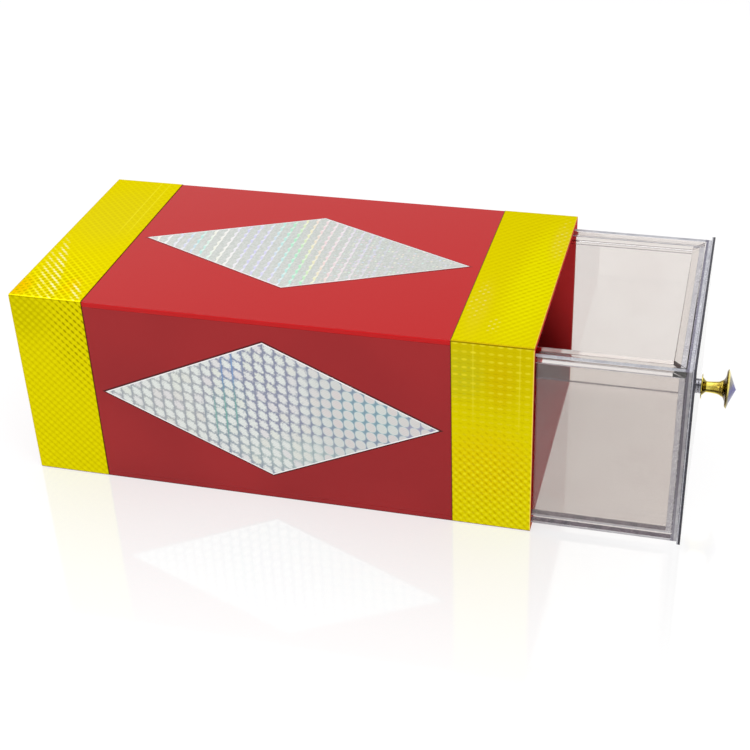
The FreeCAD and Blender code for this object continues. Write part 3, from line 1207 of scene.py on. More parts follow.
def frame_side(tail: float, front: float, outer: float, width: float,
               low: float, mitred_tail: bool) -> list[Point]:
    """Give the outline of a long strip whose front end is cut at 45 degrees on the inner side.

    Args:
        tail: Where the strip starts along X.
        front: Where it ends.
        outer: Its outer side's place along Y.
        width: Its width.
        low: Its underside's height.
        mitred_tail: Whether the tail is cut as well.

    Returns:
        The corners, in order.
    """
    inner = outer - math.copysign(width, outer)
    cut = width if mitred_tail else 0.0
    return [(tail, outer, low), (front, outer, low), (front - width, inner, low), (tail + cut, inner, low)]


def frame_cross(outer: float, half_reach: float, width: float, low: float, inward: float) -> list[Point]:
    """Give the outline of a cross strip cut at 45 degrees at both ends.

    Args:
        outer: Its outer side's place along X.
        half_reach: Half its outer length.
        width: Its width.
        low: Its underside's height.
        inward: +1 or -1, the way along X that its inner side lies.

    Returns:
        The corners, in order.
    """
    inner, inner_reach = outer + inward * width, half_reach - width
    return [
        (outer, -half_reach, low), (outer, half_reach, low),
        (inner, inner_reach, low), (inner, -inner_reach, low),
    ]


# ------------------------------------------------------------------ mesh work


class Blank:
    """A mesh being cut to shape in millimetres, before it becomes a piece."""

    def __init__(self) -> None:
        """Start with nothing."""
        self.mesh = bmesh.new()

    def plate(self, outline: Sequence[Point], push: Point, holes: Sequence[Sequence[Point]] = ()) -> Blank:
        """Add a flat plate: an outline, with any holes, pushed along a vector.

        Args:
            outline: The corners, in order.
            push: The thickness, as a vector.
            holes: Closed outlines to leave open.

        Returns:
            The blank.
        """
        mesh = self.mesh
        loops = [[mesh.verts.new(corner) for corner in ring] for ring in (outline, *holes)]
        if holes:
            edges = [mesh.edges.new((ring[i - 1], ring[i])) for ring in loops for i in range(len(ring))]
            filled = bmesh.ops.triangle_fill(mesh, use_beauty=True, use_dissolve=False, edges=edges)
            faces = [item for item in filled["geom"] if isinstance(item, bmesh.types.BMFace)]
        else:
            faces = [mesh.faces.new(loops[0])]
        grown = bmesh.ops.extrude_face_region(mesh, geom=faces, use_keep_orig=True)
        moved = [item for item in grown["geom"] if isinstance(item, bmesh.types.BMVert)]
        bmesh.ops.translate(mesh, verts=moved, vec=push)
        bmesh.ops.recalc_face_normals(mesh, faces=mesh.faces)
        return self

    def block(self, low: Point, high: Point) -> Blank:
        """Add a rectangular block between two corners."""
        outline = [low, (high[0], low[1], low[2]), (high[0], high[1], low[2]), (low[0], high[1], low[2])]
        return self.plate(outline, (0.0, 0.0, high[2] - low[2]))

    def turned(self, profile: Sequence[tuple[float, float]], start: float, height: float,
               steps: int = 64) -> Blank:
        """Spin a profile of (reach, radius) pairs about an axis along X.

        Args:
            profile: The pairs; a radius of 0 closes an end.
            start: The place of reach 0.
            height: The axis's height.
            steps: How many flats go round.

        Returns:
            The blank.
        """
        mesh = self.mesh
        rings = []
        for reach, radius in profile:
            at = start + reach
            ring = ring_of(radius, at, 0.0, height, steps) if radius else [(at, 0.0, height)]
            rings.append([mesh.verts.new(corner) for corner in ring])
        for low, high in zip(rings, rings[1:]):
            for step in range(steps):
                after = step + 1
                corners = [low[step % len(low)], low[after % len(low)]]
                corners += [high[after % len(high)], high[step % len(high)]]
                mesh.faces.new(list(dict.fromkeys(corners)))
        if profile[0] == profile[-1]:
            bmesh.ops.remove_doubles(mesh, verts=mesh.verts, dist=MM * SLIGHT)
        bmesh.ops.recalc_face_normals(mesh, faces=mesh.faces)
        return self

    def shrink(self, amount: float) -> Blank:
        """Move every flat inwards, so that glued neighbours don't share a surface.

        Args:
            amount: How far each flat moves.

        Returns:
            The blank.
        """
        moves = {}
        for corner in self.mesh.verts:
            flats: list[Vector] = []
            for face in corner.link_faces:
                if all(face.normal.dot(flat) < SAME_WAY for flat in flats):
                    flats.append(face.normal.copy())
            while len(flats) < 3:
                flats.append(flats[0].cross(flats[-1]) if len(flats) == 2 else flats[0].orthogonal())
            moves[corner] = Matrix(flats[:3]).inverted_safe() @ Vector((-amount, -amount, -amount))
        for corner, move in moves.items():
            corner.co += move
        return self

    def soften(self, width: float, segments: int = 2,
               chosen: Callable[[bmesh.types.BMEdge], bool] = lambda edge: True) -> Blank:
        """Round the sharp edges.

        Args:
            width: The rounding's width.
            segments: How many flats it has.
            chosen: Tells which of the sharp edges are rounded; all of them unless it is given.

        Returns:
            The blank.
        """
        self.mesh.normal_update()
        sharp = [
            edge for edge in self.mesh.edges
            if edge.is_manifold and edge.calc_face_angle(0.0) > SHARP_ANGLE and chosen(edge)
        ]
        bmesh.ops.bevel(
            self.mesh, geom=sharp, offset=width, segments=segments,
            profile=0.5, affect="EDGES", clamp_overlap=True)
        return self

    def coat(self, choose: Callable[[Vector], int]) -> Blank:
        """Give each face one of the piece's materials, by the way it faces.

        Args:
            choose: Gives a material's number for a face's direction.

        Returns:
            The blank.
        """
        self.mesh.normal_update()
        for face in self.mesh.faces:
            face.material_index = choose(face.normal)
        return self

    def unroll(self, place: Callable[[Vector], tuple[float, float]]) -> Blank:
        """Write each corner's place on the unrolled foil.

        Args:
            place: Gives a corner's place along and across the foil.

        Returns:
            The blank.
        """
        layer = self.mesh.loops.layers.uv.new(FLAT_MAP)
        for face in self.mesh.faces:
            for loop in face.loops:
                loop[layer].uv = place(loop.vert.co)
        return self

    def piece(self, node: str, body: Body, slot: Slot, coats: Sequence[Material],
              smooth: float = 40.0, turned: bool = False) -> bpy.types.Object:
        """Turn the blank into a piece that stands for a node of the frame.

        Args:
            node: The node it stands for.
            body: The body it moves with.
            slot: The stuff it is made of; not used.
            coats: Its materials.
            smooth: The largest angle, in degrees, that is shaded as a curve.
            turned: Whether it is turned, so that its wide faces are shaded as curves too.

        Returns:
            The piece.
        """
        self.mesh.normal_update()
        curved = []
        for face in self.mesh.faces:
            square_on = max(abs(part) for part in face.normal) > SQUARE_ON
            narrow = min(edge.calc_length() for edge in face.edges) < WIDE_FLAT
            curved.append(turned or (narrow and not square_on))
        bmesh.ops.scale(self.mesh, vec=(MM, MM, MM), verts=self.mesh.verts)
        data = bpy.data.meshes.new(node + "_shown")
        self.mesh.to_mesh(data)
        self.mesh.free()
        for material in coats:
            data.materials.append(material)
        data.set_sharp_from_angle(angle=math.radians(smooth))
        data.polygons.foreach_set("use_smooth", curved)
        made = bpy.data.objects.new(node + "_shown", data)
        bpy.context.scene.collection.objects.link(made)
        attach(made, body.value)
        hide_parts(node)
        LOG.info("%s: %d faces, rides on %s", node, len(data.polygons), body.value)
        return made


# ------------------------------------------------------------------ sleeve and its foil


@dataclass
class Sleeve:
    """The red sleeve: five glued sheets, closed at one end."""

    length: float = 290.0
    width: float = 152.0
    height: float = 115.5
    sheet: float = 3.0
    edge_round: float = 0.8
    round_steps: int = 6
    edge_ease: float = 0.22
    bush_radius: float = 4.5
    bush_height: float = 57.0

    def panel(self, node: str, blank: Blank, red: Material) -> None:
        """Ease a sheet's edges and fit it.

        Args:
            node: The node it stands for.
            blank: Its mesh.
            red: The sheet's material.
        """
        blank.soften(self.edge_ease).piece(node, Body.SLEEVE, Slot.RED_SHEET, [red])

    def build(self, red: Material) -> None:
        """Build the five sheets.

        Args:
            red: The sheet's material.
        """
        end, side = self.length / 2.0, self.width / 2.0
        inside, ceiling = side - self.sheet, self.height - self.sheet
        top = Blank().block((-end, -side, ceiling), (end, side, self.height))
        top.soften(self.edge_round, self.round_steps, self.runs_along_top)
        self.panel("sleeve_top", top, red)
        self.panel("sleeve_bottom", Blank().block((-end, -side, 0.0), (end, side, self.sheet)), red)
        near = Blank().block((-end, -side, self.sheet), (end, -inside, ceiling))
        self.panel("sleeve_near_side", near, red)
        far = Blank().block((-end, inside, self.sheet), (end, side, ceiling))
        self.panel("sleeve_far_side", far, red)
        outline = rectangle(-end, inside, self.sheet, ceiling)
        hole = ring_of(self.bush_radius, -end, 0.0, self.bush_height)
        self.panel("sleeve_closed_end", Blank().plate(outline, (self.sheet, 0.0, 0.0), [hole]), red)

    def runs_along_top(self, edge: bmesh.types.BMEdge) -> bool:
        """Say whether an edge runs along X at the sleeve's top."""
        start, end = (corner.co for corner in edge.verts)
        return min(start.z, end.z) > self.height - SLIGHT and abs(start.y - end.y) < SLIGHT


@dataclass
class FoilBands:
    """Gold foil strips folded over the near side, the top and the far side at both ends."""

    sleeve: Sleeve
    thickness: float = 0.25
    width: float = 43.0
    hem: float = 0.6

    def fold_line(self, growth: float) -> list[tuple[float, float, float]]:
        """Give the strip's course over the sleeve.

        Args:
            growth: How far outside the sleeve the course runs.

        Returns:
            Places along Y and Z, each with its distance from the near hem.
        """
        reach, rise = self.sleeve.width / 2.0 + growth, self.sleeve.height + growth
        radius = self.sleeve.edge_round + growth
        half = [(-reach, self.hem)]
        steps = self.sleeve.round_steps
        for step in range(steps + 1):
            angle = math.pi / 2.0 * step / steps
            half.append((-reach + radius * (1.0 - math.cos(angle)), rise - radius * (1.0 - math.sin(angle))))
        course = half + [(-y, z) for y, z in reversed(half)]
        told, walked = [], 0.0
        for index, (y, z) in enumerate(course):
            if index:
                walked += math.dist(course[index - 1], (y, z))
            told.append((y, z, walked))
        return told

    def band(self, node: str, start: float, gold: Material) -> None:
        """Build one strip.

        Args:
            node: The node it stands for.
            start: Its lower end along X.
            gold: The foil's material.
        """
        outer, inner = self.fold_line(self.thickness), self.fold_line(0.0)
        blank = Blank()
        mesh = blank.mesh
        layer = mesh.loops.layers.uv.new(FLAT_MAP)
        rows = []
        for (y, z, walked), (y_in, z_in, _) in zip(outer, inner):
            row = [((start, y, z), 0.0), ((start + self.width, y, z), self.width)]
            row += [((start + self.width, y_in, z_in), self.width), ((start, y_in, z_in), 0.0)]
            rows.append([(mesh.verts.new(corner), (across, walked)) for corner, across in row])
        sides = []
        for low, high in zip(rows, rows[1:]):
            for index in range(4):
                after = (index + 1) % 4
                sides.append([low[index], low[after], high[after], high[index]])
        for corners in [*sides, rows[0], rows[-1]]:
            face = mesh.faces.new([corner for corner, _ in corners])
            for loop, (_, place) in zip(face.loops, corners):
                loop[layer].uv = place
        bmesh.ops.recalc_face_normals(mesh, faces=mesh.faces)
        blank.piece(node, Body.SLEEVE, Slot.GOLD_FOIL, [gold])

    def build(self, closed_gold: Material, mouth_gold: Material) -> None:
        """Build both strips.

        Args:
            closed_gold: The material at the closed end.
            mouth_gold: The material at the mouth.
        """
        end = self.sleeve.length / 2.0
        self.band("foil_band_closed_end", -end, closed_gold)
        self.band("foil_band_mouth", end - self.width, mouth_gold)


@dataclass
class FoilDiamonds:
    """Silver foil diamonds on the two sides and the top."""

    sleeve: Sleeve
    length: float = 191.0
    height: float = 86.0
    thickness: float = 0.25
    side_rise: float = 1.2
    top_shift: float = 3.0

    def diamond(self, node: str, centre: Point, upright: bool, out: float, silver: Material) -> None:
        """Build one diamond.

        Args:
            node: The node it stands for.
            centre: The middle of its back.
            upright: Whether it stands on a side, or lies on the top.
            out: +1 or -1, the way that it faces.
            silver: The foil's material.
        """
        x, y, z = centre
        half_along, half_up = self.length / 2.0, self.height / 2.0
        across = (0.0, half_up) if upright else (half_up, 0.0)
        outline = [
            (x - half_along, y, z), (x, y - across[0], z - across[1]),
            (x + half_along, y, z), (x, y + across[0], z + across[1]),
        ]
        push = (0.0, out * self.thickness, 0.0) if upright else (0.0, 0.0, out * self.thickness)
        blank = Blank().plate(outline, push)
        blank.unroll(lambda at: (at.x - x, at.z - z if upright else at.y - y))
        blank.piece(node, Body.SLEEVE, Slot.SILVER_FOIL, [silver])

    def build(self, upright: Material, flat: Material) -> None:
        """Build the three diamonds.

        Args:
            upright: The material on the sides.
            flat: The material on the top.
        """
        side, middle = self.sleeve.width / 2.0, self.sleeve.height / 2.0 + self.side_rise
        self.diamond("diamond_near", (0.0, -side, middle), True, -1.0, upright)
        self.diamond("diamond_far", (0.0, side, middle), True, 1.0, upright)
        self.diamond("diamond_top", (0.0, self.top_shift, self.sleeve.height), False, 1.0, flat)


# ------------------------------------------------------------------ turn catch


@dataclass
class TurnCatch:
    """The catch on the closed end: bush, spindle, bar and thumb turn."""

    sleeve: Sleeve
    height: float = 57.0
    spindle_radius: float = 2.0
    spindle_ease: float = 0.4
    spindle_inset: float = 3.0
    bore_gap: float = 0.05
    bush_gap: float = 0.02
    flange_radius: float = 6.5
    flange: float = 1.2
    flange_ease: float = 0.35
    bar_length: float = 20.0
    bar_width: float = 6.5
    bar_back: float = -137.0
    bar_front: float = -134.0
    bar_gap: float = 0.01
    bar_ease: float = 0.3
    turn_gap: float = 0.3
    turn_radius: float = 8.0
    turn_disc: float = 2.0
    turn_ease: float = 0.5
    wing_height: float = 6.0
    wing_width: float = 3.2
    wing_ease: float = 0.45
    wing_root: float = 0.5
    wing_steps: int = 8
    hub_radius: float = 3.2
    hub_ease: float = 0.35

    def bush(self, brass: Material) -> None:
        """Build the flanged bush.

        Args:
            brass: Its material.
        """
        bore, barrel = self.spindle_radius + self.bore_gap, self.flange + self.sleeve.sheet
        barrel_radius = self.sleeve.bush_radius - self.bush_gap
        profile = [
            (0.0, bore), (0.0, self.flange_radius - self.flange_ease), (self.flange_ease, self.flange_radius),
            (self.flange, self.flange_radius), (self.flange, barrel_radius),
            (barrel, barrel_radius), (barrel, bore), (0.0, bore),
        ]
        face = -self.sleeve.length / 2.0 - self.flange
        blank = Blank().turned(profile, face, self.height)
        blank.piece("catch_bush", Body.SLEEVE, Slot.BRASS, [brass], turned=True)

    def bar(self, brass: Material) -> None:
        """Build the oblong bar on the spindle.

        Args:
            brass: Its material.
        """
        x, half_rise = self.bar_back, self.bar_width / 2.0
        outline = rectangle(x, self.bar_length / 2.0, self.height - half_rise, self.height + half_rise)
        hole = ring_of(self.spindle_radius + self.bar_gap, x, 0.0, self.height)
        blank = Blank().plate(outline, (self.bar_front - x, 0.0, 0.0), [hole])
        clear_of_hole = self.spindle_radius + 1.0
        blank.soften(self.bar_ease, 2, lambda edge: max(abs(end.co.y) for end in edge.verts) > clear_of_hole)
        blank.piece("catch_bar", Body.CATCH, Slot.BRASS, [brass])

    def thumb_turn(self, brass: Material) -> None:
        """Build the disc with a round-ended wing across it and a hub in its middle.

        Args:
            brass: Its material.
        """
        face = -self.sleeve.length / 2.0 - self.flange - self.turn_gap
        end = face - self.turn_disc - self.wing_height
        outline = []
        half_wing = self.wing_width / 2.0
        reach = math.sqrt(self.turn_radius**2 - half_wing**2)
        slope = math.atan2(half_wing, reach)
        for side in (0.0, math.pi):
            for step in range(self.wing_steps + 1):
                angle = side - slope + 2.0 * slope * step / self.wing_steps
                y, z = self.turn_radius * math.cos(angle), self.turn_radius * math.sin(angle)
                outline.append((end, y, self.height + z))
        blank = Blank().plate(outline, (self.wing_height + self.wing_root, 0.0, 0.0))
        blank.soften(self.wing_ease, 3)
        ease, eased = self.turn_ease, self.turn_radius - self.turn_ease
        disc = [
            (0.0, 0.0), (0.0, eased), (-ease, self.turn_radius), (-self.turn_disc + ease, self.turn_radius),
            (-self.turn_disc, eased), (-self.turn_disc, 0.0),
        ]
        blank.turned(disc, face, self.height)
        hub = [
            (0.0, 0.0), (0.0, self.hub_radius - self.hub_ease), (self.hub_ease, self.hub_radius),
            (self.wing_height, self.hub_radius), (self.wing_height, 0.0),
        ]
        blank.turned(hub, end, self.height, 48)
        blank.piece("catch_thumb_turn", Body.CATCH, Slot.BRASS, [brass])

    def spindle(self, steel: Material) -> None:
        """Build the spindle, from inside the thumb turn to the bar's front.

        Args:
            steel: Its material.
        """
        turn_end = -self.sleeve.length / 2.0 - self.flange - self.turn_gap - self.turn_disc - self.wing_height
        start = turn_end + self.spindle_inset
        reach, eased = self.bar_front - start, self.spindle_radius - self.spindle_ease
        profile = [
            (0.0, 0.0), (0.0, self.spindle_radius), (reach - self.spindle_ease, self.spindle_radius),
            (reach, eased), (reach, 0.0),
        ]
        blank = Blank().turned(profile, start, self.height, 40)
        blank.piece("catch_spindle", Body.CATCH, Slot.STEEL, [steel], turned=True)

    def build(self, brass: Material, steel: Material) -> None:
        """Build the catch.

        Args:
            brass: The material of the bush, bar and thumb turn.
            steel: The spindle's material.
        """
        self.bush(brass)
        self.bar(brass)
        self.thumb_turn(brass)
        self.spindle(steel)


# ------------------------------------------------------------------ drawers


@dataclass
class ClearParts:
    """The clear sheet and its cut edges, as both drawers use them."""

    clear: Material
    edge: Material
    ease: float = 0.25
    glue_gap: float = 0.04
    face_on: float = 0.8
    smooth: float = 25.0

    def fit(self, node: str, body: Body, blank: Blank, thin: int | None) -> None:
        """Ease a sheet's edges, coat them and fit the sheet.

        Args:
            node: The node it stands for.
            body: The drawer it belongs to.
            blank: Its mesh.
            thin: The axis across the sheet, 0 to 2; None for a strip that is clear all round.
        """
        blank.shrink(self.glue_gap).soften(self.ease)
        blank.coat(lambda facing: 0 if thin is None or abs(facing[thin]) > self.face_on else 1)
        made = blank.piece(node, body, Slot.CLEAR_SHEET, [self.clear, self.edge], self.smooth)
        made.visible_shadow = made.visible_diffuse = False


@dataclass
class OuterDrawer:
    """The outer drawer: two sides, a front, a floor and the front plate."""

    tail: float = -63.7
    back_of_plate: float = 222.6
    half_width: float = 72.6
    sheet: float = 3.0
    underside: float = 3.3
    top: float = 109.2
    plate: float = 2.0
    plate_low: float = 1.3
    plate_rise: float = 2.1
    screw_height: float = 56.0
    screw_clear: float = 2.15
    screw_head: float = 3.8

    def build(self, sheets: ClearParts, floors: ClearParts, plates: ClearParts) -> None:
        """Build the drawer.

        Args:
            sheets: The walls' clear sheet.
            floors: The floor's.
            plates: The front plate's.
        """
        body, rise = Body.OUTER, (0.0, 0.0, self.top - self.underside)
        for node, outer in (("drawer_near_wall", -self.half_width), ("drawer_far_wall", self.half_width)):
            outline = frame_side(self.tail, self.back_of_plate, outer, self.sheet, self.underside, False)
            sheets.fit(node, body, Blank().plate(outline, rise), 1)
        inner, inside = self.back_of_plate - self.sheet, self.half_width - self.sheet
        sheets.fit("drawer_front_wall", body, self.front_wall(inner), 0)
        low = self.underside
        floor = Blank().block((self.tail, -inside, low), (inner, inside, low + self.sheet))
        floors.fit("drawer_floor", body, floor, 2)
        x = self.back_of_plate
        outline = rectangle(x, self.half_width, self.plate_low, self.top + self.plate_rise)
        hole = ring_of(self.screw_clear, x, 0.0, self.screw_height)
        plates.fit("front_plate", body, Blank().plate(outline, (self.plate, 0.0, 0.0), [hole]), 0)

    def front_wall(self, inner: float) -> Blank:
        """Give the front wall with mitred ends and a countersunk screw hole.

        Args:
            inner: The wall's inner face along X.

        Returns:
            The wall's mesh.
        """
        reach = self.half_width - self.sheet
        outline = rectangle(inner, reach, self.underside, self.top)
        hole = ring_of(self.screw_head, inner, 0.0, self.screw_height)
        blank = Blank().plate(outline, (self.sheet, 0.0, 0.0), [hole])
        for corner in blank.mesh.verts:
            if corner.co.x < inner + self.sheet / 2.0:
                continue
            away = Vector((0.0, corner.co.y, corner.co.z - self.screw_height))
            if abs(corner.co.y) > reach - SLIGHT:
                corner.co.y += math.copysign(self.sheet, corner.co.y)
            elif away.length < self.screw_head + SLIGHT:
                corner.co.y *= self.screw_clear / self.screw_head
                corner.co.z = self.screw_height + away.z * self.screw_clear / self.screw_head
        return blank


@dataclass
class InnerDrawer:
    """The inner drawer: four walls, a floor and a mitred rim along the walls' tops."""

    tail: float = -63.2
    front: float = 219.3
    half_width: float = 69.3
    sheet: float = 3.0
    underside: float = 6.6
    rim_low: float = 104.0
    top: float = 109.2
    rim_width: float = 6.6
    slot_height: float = 57.0
    slot_reach: float = 10.5
    slot_rise: float = 3.75

    def build(self, sheets: ClearParts, floors: ClearParts, rims: ClearParts) -> None:
        """Build the drawer.

        Args:
            sheets: The walls' clear sheet.
            floors: The floor's.
            rims: The rim strips'.
        """
        body, inside = Body.INNER, self.half_width - self.sheet
        low, high = self.underside, self.rim_low
        near = Blank().block((self.tail, -self.half_width, low), (self.front, -inside, high))
        sheets.fit("inner_near_wall", body, near, 1)
        far = Blank().block((self.tail, inside, low), (self.front, self.half_width, high))
        sheets.fit("inner_far_wall", body, far, 1)
        room_front, room_back = self.front - self.sheet, self.tail + self.sheet
        front = Blank().block((room_front, -inside, low), (self.front, inside, high))
        sheets.fit("inner_front_wall", body, front, 0)
        outline = rectangle(self.tail, inside, low, high)
        slot_low, slot_high = self.slot_height - self.slot_rise, self.slot_height + self.slot_rise
        slot = rectangle(self.tail, self.slot_reach, slot_low, slot_high)
        sheets.fit("inner_back_wall", body, Blank().plate(outline, (self.sheet, 0.0, 0.0), [slot]), 0)
        floor = Blank().block((room_back, -inside, low), (room_front, inside, low + self.sheet))
        floors.fit("inner_floor", body, floor, 2)
        self.rim(rims)

    def rim(self, rims: ClearParts) -> None:
        """Build the four mitred rim strips.

        Args:
            rims: The strips' clear sheet.
        """
        rise = (0.0, 0.0, self.top - self.rim_low)
        for node, outer in (("rim_near", -self.half_width), ("rim_far", self.half_width)):
            outline = frame_side(self.tail, self.front, outer, self.rim_width, self.rim_low, True)
            rims.fit(node, Body.INNER, Blank().plate(outline, rise), None)
        for node, outer, inward in (("rim_front", self.front, -1.0), ("rim_back", self.tail, 1.0)):
            outline = frame_cross(outer, self.half_width, self.rim_width, self.rim_low, inward)
            rims.fit(node, Body.INNER, Blank().plate(outline, rise), None)


# ------------------------------------------------------------------ knob


@dataclass
class Knob:
    """The gilt knob with its crystal, post ring and screw."""

    plate_face: float = 224.6
    height: float = 56.0
    post_length: float = 1.5
    post_radius: float = 4.1
    post_ease: float = 0.2
    screw_radius: float = 2.0
    flange: float = 0.5
    flange_radius: float = 6.9
    collar_radius: float = 5.1
    neck_start: float = 2.7
    neck_length: float = 6.4
    neck_radius: float = 3.05
    neck_swell: float = 0.5
    neck_steps: int = 6
    throat_length: float = 1.8
    throat_radius: float = 4.45
    flare_length: float = 2.2
    flare_rise: float = 5.35
    flare_steps: int = 10
    lip: float = 1.0
    head_radius: float = 11.0
    crystal_radius: float = 8.8
    crystal_rise: float = 3.6
    crystal_seat: float = 16.5
    facets: int = 12

    def foot(self, start: float) -> list[tuple[float, float]]:
        """Give the outline of the flange and the collar behind the neck.

        Args:
            start: Where it starts, from the plate.

        Returns:
            Its (reach, radius) pairs.
        """
        wide, edge = self.flange_radius, start + self.flange
        flange = [(start, wide - 0.2), (start + 0.12, wide), (edge - 0.12, wide), (edge, wide - 0.15)]
        collar = [(edge, self.collar_radius), (start + 1.2, 4.55), (start + 2.0, 3.6)]
        return [(start, self.screw_radius), *flange, *collar, (start + self.neck_start, self.neck_radius)]

    def trumpet(self, start: float) -> list[tuple[float, float]]:
        """Give the outline of the neck and of the head's flare.

        Args:
            start: Where it starts, from the plate.

        Returns:
            Its (reach, radius) pairs.
        """
        profile = []
        for step in range(1, self.neck_steps + 1):
            share = step / self.neck_steps
            wide = self.neck_radius + self.neck_swell * share * share
            profile.append((start + self.neck_length * share, wide))
        throat = start + self.neck_length
        flare = throat + self.throat_length
        profile += [(throat + self.throat_length / 2.0, 3.85), (flare, self.throat_radius)]
        for step in range(1, self.flare_steps + 1):
            angle = math.pi / 2.0 * step / self.flare_steps
            wide = self.throat_radius + self.flare_rise * (1.0 - math.cos(angle))
            profile.append((flare + self.flare_length * math.sin(angle), wide))
        return profile

    def bezel(self, start: float) -> list[tuple[float, float]]:
        """Give the outline of the head's lip and of the bezel that holds the crystal.

        Args:
            start: Where it starts, from the plate.

        Returns:
            Its (reach, radius) pairs.
        """
        wide, seat = self.head_radius, self.crystal_seat
        edge = start + self.lip
        lip = [(start + 0.55, wide - 0.35), (start + 0.85, wide - 0.04), (edge, wide)]
        bezel = [(edge + (seat - edge) * 0.15, wide - 0.2), (seat - 0.05, self.crystal_radius + 0.25)]
        return [*lip, *bezel, (seat, self.crystal_radius), (seat, self.screw_radius)]

    def body_profile(self) -> list[tuple[float, float]]:
        """Give the turned outline as (reach, radius) pairs: foot, neck and trumpet-shaped head."""
        foot = self.foot(self.post_length)
        trumpet = self.trumpet(foot[-1][0])
        return [*foot, *trumpet, *self.bezel(trumpet[-1][0]), foot[0]]

    def crystal(self, cut: Material) -> None:
        """Build the faceted cone: a ring of facets round a star of facets.

        Args:
            cut: Its material.
        """
        blank = Blank()
        mesh = blank.mesh
        start = self.plate_face + self.crystal_seat
        rings = []
        for tier, share in enumerate((1.0, 0.5)):
            at = start + self.crystal_rise * (1.0 - share)
            ring = ring_of(self.crystal_radius * share, at, 0.0, self.height, self.facets, tier / 2.0)
            rings.append([mesh.verts.new(corner) for corner in ring])
        tip = mesh.verts.new((start + self.crystal_rise, 0.0, self.height))
        mesh.faces.new(rings[0])
        for facet in range(self.facets):
            after = (facet + 1) % self.facets
            mesh.faces.new((rings[0][facet], rings[0][after], rings[1][facet]))
            mesh.faces.new((rings[0][after], rings[1][after], rings[1][facet]))
            mesh.faces.new((rings[1][facet], rings[1][after], tip))
        bmesh.ops.recalc_face_normals(mesh, faces=mesh.faces)
        blank.piece("knob_crystal", Body.OUTER, Slot.CRYSTAL, [cut], 5.0)

    def build(self, gilt: Material, chrome: Material, cut: Material) -> None:
        """Build the knob.

        Args:
            gilt: The knob body's material.
            chrome: The post ring's material.
            cut: The crystal's material.
        """
        length, wide, eased = self.post_length, self.post_radius, self.post_radius - self.post_ease
        post = [
            (0.0, self.screw_radius), (0.0, eased), (self.post_ease, wide), (length - self.post_ease, wide),
            (length, eased), (length, self.screw_radius), (0.0, self.screw_radius),
        ]
        ring = Blank().turned(post, self.plate_face, self.height)
        ring.piece("knob_post_ring", Body.OUTER, Slot.CHROME, [chrome], turned=True)
        turned = Blank().turned(self.body_profile(), self.plate_face, self.height, 96)
        turned.piece("knob_body", Body.OUTER, Slot.GILT, [gilt], 35.0, turned=True)
        self.crystal(cut)


# ------------------------------------------------------------------ studio


@dataclass(frozen=True)
class Lamp:
    """A soft lamp: where it hangs and points in metres, its size in metres and its power in watts."""

    name: str
    at: Point
    aim: Point
    size: tuple[float, float]
    power: float


